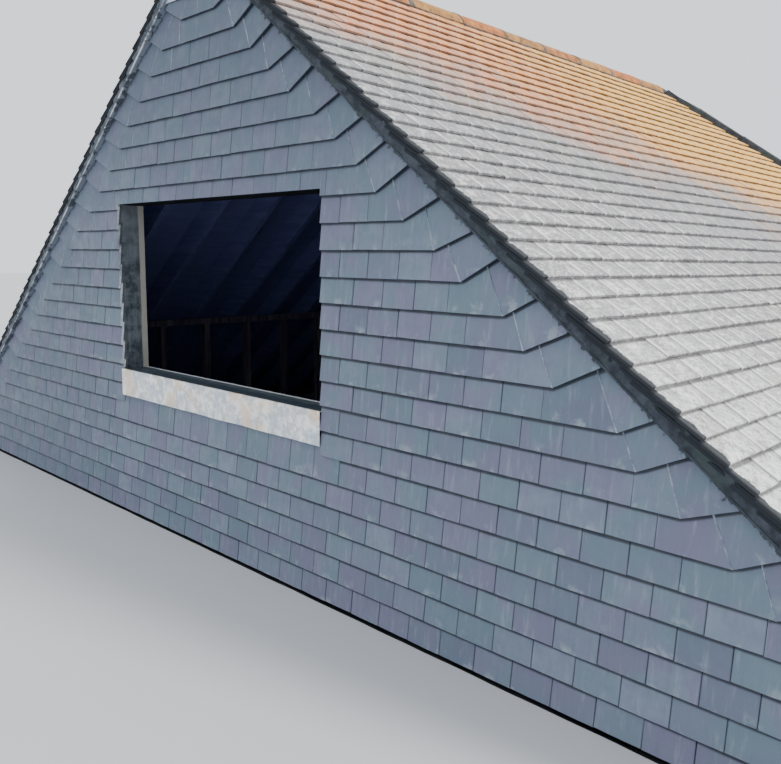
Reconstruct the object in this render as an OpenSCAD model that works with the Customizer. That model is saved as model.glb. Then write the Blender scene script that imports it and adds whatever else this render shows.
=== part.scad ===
// Tile-hung gable wall with a window opening, under a plain-tiled roof
// that is hipped at the rear. It stands on a level floor: +X runs to the
// right along the gable, +Y into the building, +Z up, and the origin is
// the bottom centre of the bounding box. Lengths are millimetres.

/* [Roof] */
// Pitch of the three roof slopes in degrees
roof_pitch = 38.5; // [34:0.5:44]
// Width across the eaves, tile tail to tile tail
eaves_w = 7570; // [6600:10:8400]
// Height of the upper edge of the eaves tiles above the floor
eaves_h = 60; // [55:1:80]
// Length of the ridge from the gable face to the head of the hips
ridge_len = 4600; // [3400:50:5600]
// Overhang of the verge in front of the gable tiles
verge_over = 20; // [10:1:40]
// Overhang of the tiles past the fascia board
eaves_over = 70; // [60:1:90]

/* [Tiles] */
// Length of a plain tile
tile_len = 265; // [255:1:275]
// Width of a plain tile with its side joint
tile_pitch = 167; // [150:1:180]
// Thickness of a plain tile
tile_t = 12; // [10:0.5:14]
// Exposed height of a course of hung tiles
wall_gauge = 110; // [104:1:116]
// Exposed length of a course of roof tiles
roof_gauge = 100; // [92:1:106]
// Exposed length of the lowest course of roof tiles
eaves_gauge = 74; // [60:1:100]
// Height of the lowest hung tiles above the floor
base_gap = 15; // [8:1:30]
// Outside radius of the round ridge tiles
ridge_r = 135; // [130:1:145]
// Width of a ridge tile from foot to foot
ridge_w = 260; // [230:5:260]
// Outside radius of the round hip tiles
hip_r = 145; // [130:1:155]
// Width of a hip tile from foot to foot
hip_w = 220; // [200:5:240]
// Wall thickness of the ridge and hip tiles
ridge_t = 14; // [11:1:18]
// Length of a ridge or hip tile with its joint
ridge_tile_len = 450; // [300:5:500]

/* [Verge courses] */
// Distance of the bend in each course from the verge
bend_dist = 160; // [140:1:180]
// Angle by which the last tile of each course turns up
splay = 24; // [18:1:30]
// Least width of the tapered tile beside the last one
taper_min = 60; // [50:1:80]
// Side joint between cut tiles
cut_joint = 0.8; // [0.4:0.1:0.9]

/* [Window opening] */
// Clear width of the opening
window_w = 1770; // [900:10:2100]
// Clear height of the opening
window_h = 940; // [600:10:1050]
// Height of the sill above the floor
sill_h = 865; // [600:5:950]
// Height of the lead apron below the sill
apron_h = 150; // [120:5:200]
// Height of the lead sheet over the top of the gable
apex_lead_h = 222; // [150:1:260]
// Thickness of the lead sheet
lead_t = 3; // [2:0.5:4]
// Thickness of the lining boards in the opening
lining_t = 12; // [9:1:18]
// Thickness of the sill board
sill_t = 25; // [18:1:32]

/* [Wall frame] */
// Width of a stud across its face
stud_w = 47; // [38:1:50]
// Depth of a stud through the wall
stud_d = 95; // [89:1:145]
// Spacing of studs, centre to centre
stud_spacing = 400; // [350:10:600]
// Thickness of the sheathing boards on the studs
sheathing_t = 11; // [9:1:18]
// Thickness of the tiling battens
batten_t = 25; // [19:1:30]
// Width of the tiling battens
batten_w = 38; // [32:1:50]
// Height of the head beam over the window
head_beam_h = 145; // [95:5:195]
// Height of the base plates
plate_h = 50; // [40:1:60]

/* [Roof frame] */
// Thickness of a rafter
rafter_w = 47; // [38:1:50]
// Depth of a rafter square to the slope
rafter_d = 150; // [125:5:175]
// Spacing of rafters, centre to centre
rafter_spacing = 400; // [350:10:600]
// Thickness of the roof boarding
sarking_t = 18; // [12:1:22]
// Thickness of the ridge board
ridge_board_t = 32; // [25:1:38]
// Depth of the ridge board
ridge_board_h = 200; // [200:5:250]
// Thickness of a hip rafter
hip_rafter_t = 50; // [38:1:75]
// Plumb depth of a hip rafter
hip_rafter_h = 225; // [200:5:250]
// Thickness of the undercloak strip below the verge tiles
undercloak_t = 6; // [4:1:9]
// Width of the mortar bed at the verge
verge_bed_w = 60; // [50:1:80]
// Thickness of the fascia board
fascia_t = 20; // [16:1:25]
// Distance of each knee wall from the middle of the building
knee_x = 2150; // [2000:10:2300]

/* [Hidden] */

$fn = 128;
seat = 0.3;
tan_p = tan(roof_pitch);
cos_p = cos(roof_pitch);
sin_p = sin(roof_pitch);
half_w = eaves_w / 2;
apex_z = eaves_h + half_w * tan_p;

// Layers of the wall, from the face of the hung tiles inwards
wall_tilt = asin(tile_t / wall_gauge);
wall_build = tile_t * cos(wall_tilt) + tile_len * sin(wall_tilt);
sheathing_y = wall_build + batten_t;
frame_y = sheathing_y + sheathing_t;
inner_y = frame_y + stud_d;

// Layers of the roof, square to the slope from the tile tails downwards
roof_tilt = asin(tile_t / roof_gauge);
roof_build = tile_t * cos(roof_tilt) + tile_len * sin(roof_tilt);
sarking_off = roof_build + batten_t;
rafter_off = sarking_off + sarking_t;
rafter_under = rafter_off + rafter_d;
cloak_off = sarking_off + undercloak_t;
verge_edge_off = cloak_off + seat;

// Places along and across the building
depth_shift = -(ridge_len + half_w - verge_over) / 2;
fascia_x = half_w - eaves_over;
board_x = fascia_x - fascia_t;
toe_x = run_at(rafter_off, plate_h);
heel_x = run_at(rafter_under, plate_h);
opening_x = window_w / 2;
trim_x = opening_x + lining_t;
head_z = sill_h + window_h;
big = 20000;

// Height of a plane that lies off below the tile tails, at run x
function plane_z(off, x) = apex_z - off / cos_p - x * tan_p;
// Run at which that plane comes down to height z
function run_at(off, z) = (apex_z - off / cos_p - z) / tan_p;

// Bend of course k on the right of the gable
function course_z(k) = base_gap + k * wall_gauge;
function bend_x(k) = run_at(verge_edge_off + bend_dist, course_z(k));
// Side joints of course k lie at whole pitches, or half a pitch over
function joint_shift(k) = k % 2 == 0 ? tile_pitch / 2 : 0;
function last_joint(k) = joint_shift(k)
    + tile_pitch * floor((bend_x(k) - taper_min - joint_shift(k)) / tile_pitch);
gable_top = plane_z(verge_edge_off, 0);
plain_courses = ceil((gable_top - base_gap) / wall_gauge);
under_courses = floor((sill_h - apron_h - base_gap) / wall_gauge);
bend_courses = floor((gable_top - bend_dist / cos_p - base_gap) / wall_gauge);

module place() translate([0, depth_shift, 0]) children();
module on_left() mirror([1, 0, 0]) children();
// Turns a slope's run from +X to +Y, beyond the end of the ridge
module on_rear() translate([0, ridge_len, 0]) rotate([0, 0, 90]) children();
// Stands an outline drawn in x and z on the gable, from y0 to y1
module upright(y0, y1) translate([0, y1, 0]) rotate([90, 0, 0])
    linear_extrude(y1 - y0) children();
// Runs an outline drawn in y and z along x, from x0 to x1
module along_x(x0, x1) translate([x0, 0, 0]) rotate([90, 0, 90])
    linear_extrude(x1 - x0) children();
// Plan of the right slope, up to the hip and clear of it by gap
module right_plan(y0, gap = 0) translate([0, 0, -1])
    linear_extrude(apex_z + big) polygon([
        [0, y0], [big, y0], [big, ridge_len + big - gap],
        [gap, ridge_len], [0, ridge_len]]);
// Plan of the rear slope in its own run, clear of the hips by gap
module rear_plan(gap = 0) translate([0, 0, -1])
    linear_extrude(apex_z + big) polygon([
        [gap, 0], [big, big - gap], [big, gap - big]]);

// Stepped surface of lapped courses: tails at z, faces falling back
module lapped_profile(first, count, gauge, build) polygon([
    for (k = [0:count - 1]) each [
        [0, first + k * gauge], [tile_t, first + (k + 1) * gauge]],
    [build, first + count * gauge], [build, first]]);

module gable_triangle(off, z0, z1 = big) {
    top = min(z1, plane_z(off, 0));
    w0 = run_at(off, z0);
    w1 = run_at(off, top);
    polygon([[-w0, z0], [w0, z0], [w1, top], [-w1, top]]);
}
module window_hole(x, z0, z1) translate([-x, z0]) square([2 * x, z1 - z0]);
module side_strip(x0) translate([x0, 0]) square([big, big]);
// Keeps what lies below the undersides of the rafters
module under_rafters() intersection() {
    children();
    upright(0, inner_y) gable_triangle(rafter_under, 0);
}

module base_plates() color("burlywood") place() {
    translate([-heel_x + seat, frame_y, 0])
        cube([2 * (heel_x - seat), stud_d, plate_h]);
    for (side = [-1, 1]) translate([side < 0 ? -toe_x : heel_x, frame_y, 0])
        cube([toe_x - heel_x, ridge_len + heel_x - frame_y - seat, plate_h]);
    translate([-toe_x, ridge_len + heel_x, 0])
        cube([2 * toe_x, toe_x - heel_x, plate_h]);
}

module stud(x, z0, z1) translate([x - stud_w / 2, frame_y, z0])
    cube([stud_w, stud_d, z1 - z0]);
module side_studs() under_rafters()
    for (x = [trim_x + stud_w / 2 : stud_spacing : heel_x - stud_spacing / 2])
        stud(x, plate_h, apex_z);
module gable_studs_right() color("burlywood") place() side_studs();
module gable_studs_left() color("burlywood") place() on_left() side_studs();
module gable_studs_over() color("burlywood") place() under_rafters()
    for (x = [-1.5:1.5])
        stud(x * stud_spacing, head_z + lining_t + head_beam_h, apex_z);
module gable_studs_under() color("burlywood") place()
    for (x = [-1.5:1.5])
        stud(x * stud_spacing, plate_h, sill_h - sill_t - stud_w);
module window_head_beam() color("burlywood") place() under_rafters()
    translate([-trim_x, frame_y, head_z + lining_t])
        cube([2 * trim_x, stud_d, head_beam_h]);
module window_sill_rail() color("burlywood") place()
    translate([-trim_x, frame_y, sill_h - sill_t - stud_w])
        cube([2 * trim_x, stud_d, stud_w]);

module sheathing() intersection() {
    upright(sheathing_y, frame_y) gable_triangle(cloak_off, 0);
    upright(sheathing_y, frame_y) children();
}
module sheathing_right() color("tan") place() sheathing() side_strip(trim_x);
module sheathing_left() color("tan") place() on_left() sheathing()
    side_strip(trim_x);
module sheathing_over() color("tan") place() sheathing()
    window_hole(trim_x, head_z + lining_t, big);
module sheathing_under() color("tan") place() sheathing()
    window_hole(trim_x, 0, sill_h - sill_t);

module wall_batten(x0, x1, z) if (x1 > x0) translate([x0, wall_build, z])
    cube([x1 - x0, batten_t, batten_w]);
module wall_battens() color("peru") place()
    for (k = [0:plain_courses - 1]) {
        z = course_z(k) + tile_t;
        edge = run_at(cloak_off, z + batten_w) - seat;
        crosses = z + batten_w > sill_h - sill_t && z < head_z + lining_t;
        if (crosses) for (side = [-1, 1])
            wall_batten(side < 0 ? -edge : trim_x, side < 0 ? -trim_x : edge, z);
        else wall_batten(-edge, edge, z);
    }

// Hung tiles as lapped courses, ending at the cut tiles of the verge
module hung_courses(count = plain_courses) intersection() {
    along_x(-half_w, half_w)
        lapped_profile(base_gap, count, wall_gauge, wall_build);
    intersection() {
        upright(-1, wall_build) course_outline();
        upright(-1, wall_build) children();
    }
}
module course_outline() polygon([
    for (k = [0:bend_courses]) if (last_joint(k) > 0) each [
        [last_joint(k), course_z(k)], [last_joint(k), course_z(k + 1)]],
    for (k = [bend_courses:-1:0]) if (last_joint(k) > 0) each [
        [-last_joint(k), course_z(k + 1)], [-last_joint(k), course_z(k)]]]);
module tile_hanging_right() color("slategray") place() hung_courses()
    translate([opening_x, 0]) square([big, head_z]);
module tile_hanging_left() color("slategray") place() on_left() hung_courses()
    translate([opening_x, 0]) square([big, head_z]);
module tile_hanging_over() color("slategray") place() hung_courses()
    translate([-big, head_z]) square([2 * big, big]);
// The course below the opening runs on plain behind the apron
module tile_hanging_under() color("slategray") place() {
    hung_courses(under_courses) window_hole(opening_x, 0, course_z(under_courses));
    along_x(-opening_x, opening_x) polygon([
        [tile_t, course_z(under_courses)], [2 * tile_t, sill_h - sill_t],
        [wall_build, sill_h - sill_t], [wall_build, course_z(under_courses)]]);
}

// A hung tile with its outline drawn up from the tail, leaned by turn
module hung_tile(x, z, turn) translate([x, 0, z]) rotate([0, -turn, 0])
    rotate([-wall_tilt, 0, 0]) translate([0, tile_t, 0]) rotate([90, 0, 0])
        linear_extrude(tile_t) children();
module splayed_outline() {
    verge_angle = roof_pitch + splay;
    tail = bend_dist / sin(verge_angle);
    head = tail - tile_len / tan(verge_angle);
    polygon([[cut_joint, 0], [tail, 0], [head, tile_len], [cut_joint, tile_len]]);
}
module tapered_outline(w) {
    rise = min(tile_len, (w - cut_joint) / tan(splay));
    top = max(0, w - cut_joint - rise * tan(splay));
    polygon([[-w, 0], [0, 0], [top - w, rise], [-w, rise]]);
}
module cut_pair(k) {
    w = bend_x(k) - max(last_joint(k), 0) - cut_joint;
    hung_tile(bend_x(k), course_z(k), splay) splayed_outline();
    if (w > taper_min / 4) hung_tile(bend_x(k), course_z(k), 0)
        tapered_outline(w);
}
module verge_cut_tiles() {
    for (k = [0:bend_courses - 1]) cut_pair(k);
    intersection() {
        translate([seat, -1, base_gap]) cube([big, big, apex_z]);
        for (k = [-1, bend_courses, bend_courses + 1]) cut_pair(k);
    }
}
module verge_cut_tiles_right() color("lightslategray") place()
    verge_cut_tiles();
module verge_cut_tiles_left() color("lightslategray") place()
    on_left() verge_cut_tiles();

module jamb_lining() under_rafters() translate([opening_x, wall_build, sill_h])
    cube([lining_t, inner_y - wall_build, window_h]);
module jamb_lining_right() color("dimgray") place() jamb_lining();
module jamb_lining_left() color("dimgray") place() on_left() jamb_lining();
module head_lining() color("dimgray") place() under_rafters()
    translate([-trim_x, wall_build, head_z])
        cube([2 * trim_x, inner_y - wall_build, lining_t]);
module sill_board() color("gray") place()
    translate([-trim_x, wall_build, sill_h - sill_t])
        cube([2 * trim_x, inner_y - wall_build, sill_t]);
module lead_apron() color("silver") place() {
    fold_y = wall_build + 2 * batten_t;
    along_x(-opening_x + seat, opening_x - seat) polygon([
        [-lead_t - seat, sill_h - apron_h], [-seat, sill_h - apron_h],
        [-seat, sill_h], [fold_y, sill_h], [fold_y, sill_h + lead_t],
        [-lead_t - seat, sill_h + lead_t]]);
}
module apex_flashing() color("gainsboro") place()
    upright(-lead_t - seat, -seat)
        gable_triangle(verge_edge_off, gable_top - apex_lead_h);
module tilting_fillet() color("black") place()
    translate([-run_at(verge_edge_off, base_gap), 2 * tile_t, 0])
        cube([2 * run_at(verge_edge_off, base_gap),
            sheathing_y - 2 * tile_t, base_gap]);

// A strip between two planes below the tile tails, drawn in run and z
module slope_strip(off0, off1, x0, x1) polygon([
    [x0, plane_z(off0, x0)], [x1, plane_z(off0, x1)],
    [x1, plane_z(off1, x1)], [x0, plane_z(off1, x0)]]);
module undercloaks() color("whitesmoke") place()
    upright(-verge_over, frame_y) {
        slope_strip(sarking_off, cloak_off, 0, toe_x);
        mirror([1, 0]) slope_strip(sarking_off, cloak_off, 0, toe_x);
    }
module verge_bedding() upright(-verge_over, verge_bed_w - verge_over)
    slope_strip(roof_build, sarking_off, 0, board_x);
module verge_bedding_right() color("darkslategray") place() verge_bedding();
module verge_bedding_left() color("darkslategray") place()
    on_left() verge_bedding();

module rafter(y) upright(y, y + rafter_w) polygon([
    [ridge_board_t / 2, plane_z(rafter_off, ridge_board_t / 2)],
    [toe_x, plate_h], [heel_x, plate_h],
    [ridge_board_t / 2, plane_z(rafter_under, ridge_board_t / 2)]]);
hip_gap = hip_rafter_t / sqrt(2) + seat;
module side_rafters() {
    rafter(frame_y);
    intersection() {
        right_plan(frame_y, hip_gap);
        for (y = [frame_y + rafter_spacing : rafter_spacing : ridge_len + toe_x])
            rafter(y);
    }
}
module rafters_right() color("sienna") place() side_rafters();
module rafters_left() color("sienna") place() on_left() side_rafters();
module rafters_rear() color("sienna") place() on_rear() intersection() {
    rear_plan(hip_gap);
    union() for (i = [-floor(toe_x / rafter_spacing):floor(toe_x / rafter_spacing)])
        rafter(i * rafter_spacing - rafter_w / 2);
}
// Hip rafter drawn along its own run, which lies at 45 degrees in plan
module hip_rafter() {
    fall = tan_p / sqrt(2);
    top = plane_z(rafter_off, 0) - fall * hip_rafter_t / 2;
    upright(-hip_rafter_t / 2, hip_rafter_t / 2) polygon([
        [hip_rafter_t / 2, top - fall * hip_rafter_t / 2],
        [(top - plate_h) / fall, plate_h],
        [(top - hip_rafter_h - plate_h) / fall, plate_h],
        [hip_rafter_t / 2, top - hip_rafter_h - fall * hip_rafter_t / 2]]);
}
// Plan direction of the right hip, with all slopes at one pitch
hip_turn = 45;
mitre_turn = (hip_turn - 90) / 2;
module at_hips() for (turn = [hip_turn, 180 - hip_turn])
    translate([0, ridge_len, 0]) rotate([0, 0, turn]) children();
module hip_rafters() color("saddlebrown") place() at_hips() hip_rafter();
module ridge_board() color("saddlebrown") place()
    translate([-ridge_board_t / 2, frame_y,
        plane_z(rafter_off, ridge_board_t / 2) - ridge_board_h])
        cube([ridge_board_t, ridge_len - frame_y, ridge_board_h]);

module side_sarking() intersection() {
    right_plan(frame_y);
    upright(0, ridge_len + half_w) slope_strip(sarking_off, rafter_off, 0, board_x);
}
module sarking_right() color("wheat") place() side_sarking();
module sarking_left() color("wheat") place() on_left() side_sarking();
module sarking_rear() color("wheat") place() on_rear() intersection() {
    rear_plan();
    upright(-half_w, half_w) slope_strip(sarking_off, rafter_off, 0, board_x);
}

// Slope frame: x runs down the slope from the apex, z points outwards
module on_slope() translate([0, 0, apex_z]) rotate([0, roof_pitch, 0]) children();
eaves_run = half_w / cos_p;
roof_courses = 1 + floor((eaves_run - eaves_gauge - ridge_w / 2 / cos_p) / roof_gauge);
// Distance of the tails of course k from the apex, counted from the eaves
function tail_run(k) = k > 0 ? eaves_run - eaves_gauge - (k - 1) * roof_gauge
    : eaves_run;
batten_gap = 2 * tile_t;
module batten_rows(y0, y1) on_slope()
    for (k = [2:roof_courses + 1])
        translate([tail_run(k), y0, -sarking_off])
            cube([batten_w, y1 - y0, batten_t]);
module side_battens() intersection() {
    right_plan(verge_bed_w - verge_over + seat, batten_gap);
    batten_rows(0, ridge_len + half_w);
}
module roof_battens() color("peru") place() {
    side_battens();
    on_left() side_battens();
    on_rear() intersection() {
        rear_plan(batten_gap);
        batten_rows(-half_w, half_w);
    }
}

// Outline of the lapped roof courses, from the eaves up past the ridge
module roof_profile() polygon([
    for (k = [0:roof_courses - 1]) each [
        [tail_run(k), 0], [tail_run(k + 1), -tile_t]],
    [tail_run(roof_courses), 0],
    [tail_run(roof_courses + 3), -3 * tile_t],
    [tail_run(roof_courses + 3), -roof_build],
    [eaves_run, -roof_build]]);
module roof_courses_from(y0, y1) on_slope() upright(y0, y1) roof_profile();
module side_tiles() intersection() {
    right_plan(-verge_over);
    roof_courses_from(-verge_over, ridge_len + half_w);
}
module roof_tiles_right() color("rosybrown") place() side_tiles();
module roof_tiles_left() color("rosybrown") place() on_left() side_tiles();
module roof_tiles_rear() color("rosybrown") place() on_rear() intersection() {
    rear_plan();
    roof_courses_from(-half_w, half_w);
}

// Depth of the centre of a round cap below the planes on which it stands
function cap_drop(r, w, fall) = w / 2 * fall + sqrt(r * r - w * w / 4);
module under_planes(r, top, fall) polygon([[0, top], [2 * r, top - 2 * r * fall],
    [2 * r, -2 * r], [-2 * r, -2 * r], [-2 * r, top - 2 * r * fall]]);
// Round cap with its feet cut to two falling planes
module cap_outline(r, w, peak, fall) translate([0, peak - cap_drop(r, w, fall)])
    difference() {
        circle(r);
        circle(r - ridge_t);
        under_planes(r, cap_drop(r, w, fall), fall);
    }
// Mortar that fills a cap, down to the same two planes
module cap_filling(r, w, peak, fall) translate([0, peak - cap_drop(r, w, fall)])
    difference() {
        circle(r - ridge_t - seat);
        under_planes(r, cap_drop(r, w, fall) + seat, fall);
    }
top_tail = tail_run(roof_courses);
top_fall = tan(roof_pitch - roof_tilt);
top_peak = apex_z - top_tail * sin_p + top_tail * cos_p * top_fall;
cap_count = floor((ridge_len + verge_over) / ridge_tile_len);
cap_len = (ridge_len + verge_over) / cap_count;
module ridge_cap(y0, y1) upright(y0, y1 - seat)
    cap_outline(ridge_r, ridge_w, top_peak, top_fall);
// Wedge in plan about the end of the ridge, where three caps are mitred
module mitre(from, to) translate([0, ridge_len, 0]) linear_extrude(big) polygon([
    [0, 0], for (a = [from, (from + to) / 2, to]) 2 * apex_z * [cos(a), sin(a)]]);
module ridge_tiles() color("chocolate") place() {
    for (i = [0:cap_count - 2])
        ridge_cap(i * cap_len - verge_over, (i + 1) * cap_len - verge_over);
    intersection() {
        ridge_cap(ridge_len - cap_len, ridge_len + ridge_r);
        mitre(180 - mitre_turn, 360 + mitre_turn);
    }
}
module ridge_end_bedding() color("darkslategray") place()
    upright(-verge_over, verge_bed_w - verge_over)
        cap_filling(ridge_r, ridge_w, top_peak, top_fall);
hip_pitch = atan(tan_p / sqrt(2));
hip_run = half_w * sqrt(2) / cos(hip_pitch);
hip_spread = sqrt(2 + tan_p * tan_p);
hip_fall = hip_spread * sin_p / (tan_p * sin_p + 2 * cos_p);
hip_count = floor(hip_run / ridge_tile_len);
hip_cap_len = hip_run / hip_count;
module hip_cap(s0, s1) translate([0, ridge_len, apex_z]) rotate([0, 0, hip_turn])
    rotate([0, hip_pitch, 0]) translate([s0, 0, 0]) rotate([90, 0, 90])
        linear_extrude(s1 - s0 - seat) cap_outline(hip_r, hip_w, 0, hip_fall);
module hip_caps() {
    for (i = [1:hip_count - 2]) hip_cap(i * hip_cap_len, (i + 1) * hip_cap_len);
    intersection() {
        hip_cap(-hip_r, hip_cap_len);
        translate([seat, seat, 0]) mitre(mitre_turn, 90);
    }
    intersection() {
        hip_cap(hip_run - hip_cap_len, hip_run + hip_r);
        cube([half_w, ridge_len + half_w, apex_z]);
    }
}
module hip_tiles() color("dimgray") place() {
    hip_caps();
    on_left() hip_caps();
}

// Stud wall under the rafters, from the gable to the rear slope
module knee_wall() {
    top = plane_z(rafter_under, knee_x + stud_w);
    far = ridge_len + knee_x - hip_rafter_h;
    translate([knee_x, inner_y + seat, 0]) {
        cube([stud_w, far - inner_y, stud_w]);
        translate([0, 0, top - stud_w])
            cube([stud_w, far - inner_y, stud_w]);
        for (y = [0:stud_spacing:far - inner_y - stud_w])
            translate([0, y, stud_w + seat])
                cube([stud_w, stud_w, top - 2 * (stud_w + seat)]);
    }
}
module knee_wall_right() color("burlywood") place() knee_wall();
module knee_wall_left() color("burlywood") place() on_left() knee_wall();

module fascia_outline() polygon([
    [board_x, 0], [fascia_x, 0], [fascia_x, plane_z(roof_build, fascia_x)],
    [board_x, plane_z(roof_build, board_x)]]);
module fascia_boards() color("dimgray") place() {
    for (side = [0, 1]) mirror([side, 0, 0])
        upright(frame_y + seat, ridge_len + board_x - seat) fascia_outline();
    on_rear() upright(-board_x, board_x) fascia_outline();
}

base_plates();
gable_studs_left();
gable_studs_right();
gable_studs_over();
gable_studs_under();
window_head_beam();
window_sill_rail();
sheathing_left();
sheathing_right();
sheathing_over();
sheathing_under();
wall_battens();
tile_hanging_left();
tile_hanging_right();
tile_hanging_over();
tile_hanging_under();
verge_cut_tiles_left();
verge_cut_tiles_right();
jamb_lining_left();
jamb_lining_right();
head_lining();
sill_board();
lead_apron();
apex_flashing();
tilting_fillet();
undercloaks();
verge_bedding_left();
verge_bedding_right();
rafters_left();
rafters_right();
rafters_rear();
hip_rafters();
ridge_board();
sarking_left();
sarking_right();
sarking_rear();
roof_battens();
roof_tiles_left();
roof_tiles_right();
roof_tiles_rear();
ridge_tiles();
ridge_end_bedding();
hip_tiles();
knee_wall_left();
knee_wall_right();
fascia_boards();
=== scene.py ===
import math
import random

import bmesh
import bpy
from mathutils import Matrix, Vector, noise


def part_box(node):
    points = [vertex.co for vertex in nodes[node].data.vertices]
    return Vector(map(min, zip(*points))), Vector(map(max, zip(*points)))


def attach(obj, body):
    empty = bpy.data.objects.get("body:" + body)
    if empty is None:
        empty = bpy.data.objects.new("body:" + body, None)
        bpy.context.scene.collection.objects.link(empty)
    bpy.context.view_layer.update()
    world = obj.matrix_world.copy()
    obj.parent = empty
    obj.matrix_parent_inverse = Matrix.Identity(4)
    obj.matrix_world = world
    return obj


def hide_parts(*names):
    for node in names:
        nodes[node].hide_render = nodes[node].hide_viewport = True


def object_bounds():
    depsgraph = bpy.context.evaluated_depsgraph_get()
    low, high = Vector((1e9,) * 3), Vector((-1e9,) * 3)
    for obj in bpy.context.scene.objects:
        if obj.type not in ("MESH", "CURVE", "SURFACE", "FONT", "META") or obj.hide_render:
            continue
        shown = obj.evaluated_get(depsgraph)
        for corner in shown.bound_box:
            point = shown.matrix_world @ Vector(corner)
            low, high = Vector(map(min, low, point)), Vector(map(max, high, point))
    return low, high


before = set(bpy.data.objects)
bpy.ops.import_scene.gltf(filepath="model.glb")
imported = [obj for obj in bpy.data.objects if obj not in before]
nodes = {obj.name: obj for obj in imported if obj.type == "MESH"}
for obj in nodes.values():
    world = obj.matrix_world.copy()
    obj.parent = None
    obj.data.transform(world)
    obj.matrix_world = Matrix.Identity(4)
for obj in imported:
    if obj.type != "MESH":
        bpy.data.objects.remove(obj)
cadLow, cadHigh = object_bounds()

# Seed of the noise that makes surfaces uneven
surfaceSeed = 29
noise.seed_set(surfaceSeed)

# Camera at the photograph's viewing point, low down beside the right verge
viewPoint = {
    "place": (3.4302, -6.3595, 1.525), "turn": (81.0854, -0.7388, 44.3645), "lens": 36.3875,
    "sensor": 36.0, "nearest": 0.05, "farthest": 200.0,
}
camera = bpy.data.objects.new("viewCamera", bpy.data.cameras.new("viewCamera"))
bpy.context.scene.collection.objects.link(camera)
camera.location = viewPoint["place"]
camera.rotation_euler = [math.radians(angle) for angle in viewPoint["turn"]]
camera.data.lens = viewPoint["lens"]
camera.data.sensor_width = viewPoint["sensor"]
camera.data.clip_start = viewPoint["nearest"]
camera.data.clip_end = viewPoint["farthest"]
bpy.context.scene.camera = camera

# Sizes that the solids of the part have, in metres, and the pitch in degrees
building = {
    "halfWidth": 3.785, "eavesZ": 0.06, "pitch": 38.5, "faceY": -4.1825, "vergeY": -4.2025,
    "ridgeEndY": 0.4175, "openingX": 0.885, "sillZ": 0.865, "headZ": 1.805, "bandDepth": 0.075,
}
pitch = math.radians(building["pitch"])
fall = math.tan(pitch)
apexZ = building["eavesZ"] + building["halfWidth"] * fall
faceY = building["faceY"]
vergeY = building["vergeY"]
ridgeEndY = building["ridgeEndY"]
openingX = building["openingX"]
eavesRun = building["halfWidth"] / math.cos(pitch)
bothSides = (("right", 1.0), ("left", -1.0))
axisX = Vector((1.0, 0.0, 0.0))
axisY = Vector((0.0, 1.0, 0.0))
axisZ = Vector((0.0, 0.0, 1.0))
tiny = 1e-6


def planeZ(off, x):
    # Height, at x, of the plane that lies this far under the roof plane
    return apexZ - off / math.cos(pitch) - x * fall


def runAt(off, z):
    # How far from the middle that plane reaches the height z
    return (apexZ - off / math.cos(pitch) - z) / fall


# Helpers for meshes

def linkObject(name, data):
    made = bpy.data.objects.new(name, data)
    bpy.context.scene.collection.objects.link(made)
    return made


def smoothMesh(mesh, sharpAngle=35.0):
    mesh.shade_smooth()
    mesh.set_sharp_from_angle(angle=math.radians(sharpAngle))


def meshFrom(bm, name, sharpAngle=35.0):
    mesh = bpy.data.meshes.new(name)
    bm.to_mesh(mesh)
    bm.free()
    smoothMesh(mesh, sharpAngle)
    return mesh


def everything(bm):
    return bm.verts[:] + bm.edges[:] + bm.faces[:]


def pourInto(batch, part):
    # Adds a part to a batch and frees the part
    mesh = bpy.data.meshes.new("part")
    part.to_mesh(mesh)
    part.free()
    batch.from_mesh(mesh)
    bpy.data.meshes.remove(mesh)


def keepInside(mesh):
    # Holds the mesh inside the box of the solids
    for vertex in mesh.vertices:
        for axis in range(3):
            vertex.co[axis] = min(max(vertex.co[axis], cadLow[axis]), cadHigh[axis])


def finishPiece(name, mesh, finishes, replaced):
    keepInside(mesh)
    for finish in finishes:
        mesh.materials.append(finish)
    piece = linkObject(name, mesh)
    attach(piece, "root")
    if replaced:
        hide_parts(*replaced)


def roughen(bm, amount, scale, seed):
    # Uneven hand-made surface
    for vert in bm.verts:
        vert.co += noise.noise_vector(vert.co * scale + Vector((seed, seed, seed))) * amount


def lumpAt(place):
    # Coarse and fine lumps of mortar
    return noise.noise(place * 30.0) + 0.5 * noise.noise(place * 80.0)


def mirrorSide(bm, sign):
    # Turns a piece of the right side into its twin of the left side
    if sign > 0.0:
        return
    for vert in bm.verts:
        vert.co.x = -vert.co.x
    bmesh.ops.reverse_faces(bm, faces=bm.faces)


def cutTiles(bm, point, normal, finish=0):
    # Takes away what lies on the normal's side and closes the cut tiles
    found = bmesh.ops.bisect_plane(bm, geom=everything(bm), dist=tiny, plane_co=point,
                                   plane_no=normal, clear_outer=True)
    rim = [e for e in found["geom_cut"] if isinstance(e, bmesh.types.BMEdge) and e.is_boundary]
    closed = bmesh.ops.holes_fill(bm, edges=rim, sides=0)
    for face in closed["faces"]:
        face.material_index = finish


def bevelEdges(bm, edges, offset):
    bmesh.ops.bevel(bm, geom=edges, offset=offset, offset_type="OFFSET", segments=1, profile=0.5,
                    affect="EDGES", material=-1)


# Helpers for materials

def shade(red, green, blue):
    def linear(value):
        value /= 255.0
        return value / 12.92 if value <= 0.04045 else ((value + 0.055) / 1.055) ** 2.4
    return (linear(red), linear(green), linear(blue), 1.0)


def startMaterial(name, roughness=0.8, metallic=0.0):
    made = bpy.data.materials.new(name)
    made.use_nodes = True
    tree = made.node_tree
    shader = tree.nodes["Principled BSDF"]
    shader.inputs["Roughness"].default_value = roughness
    shader.inputs["Metallic"].default_value = metallic
    return made, tree, shader


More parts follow.
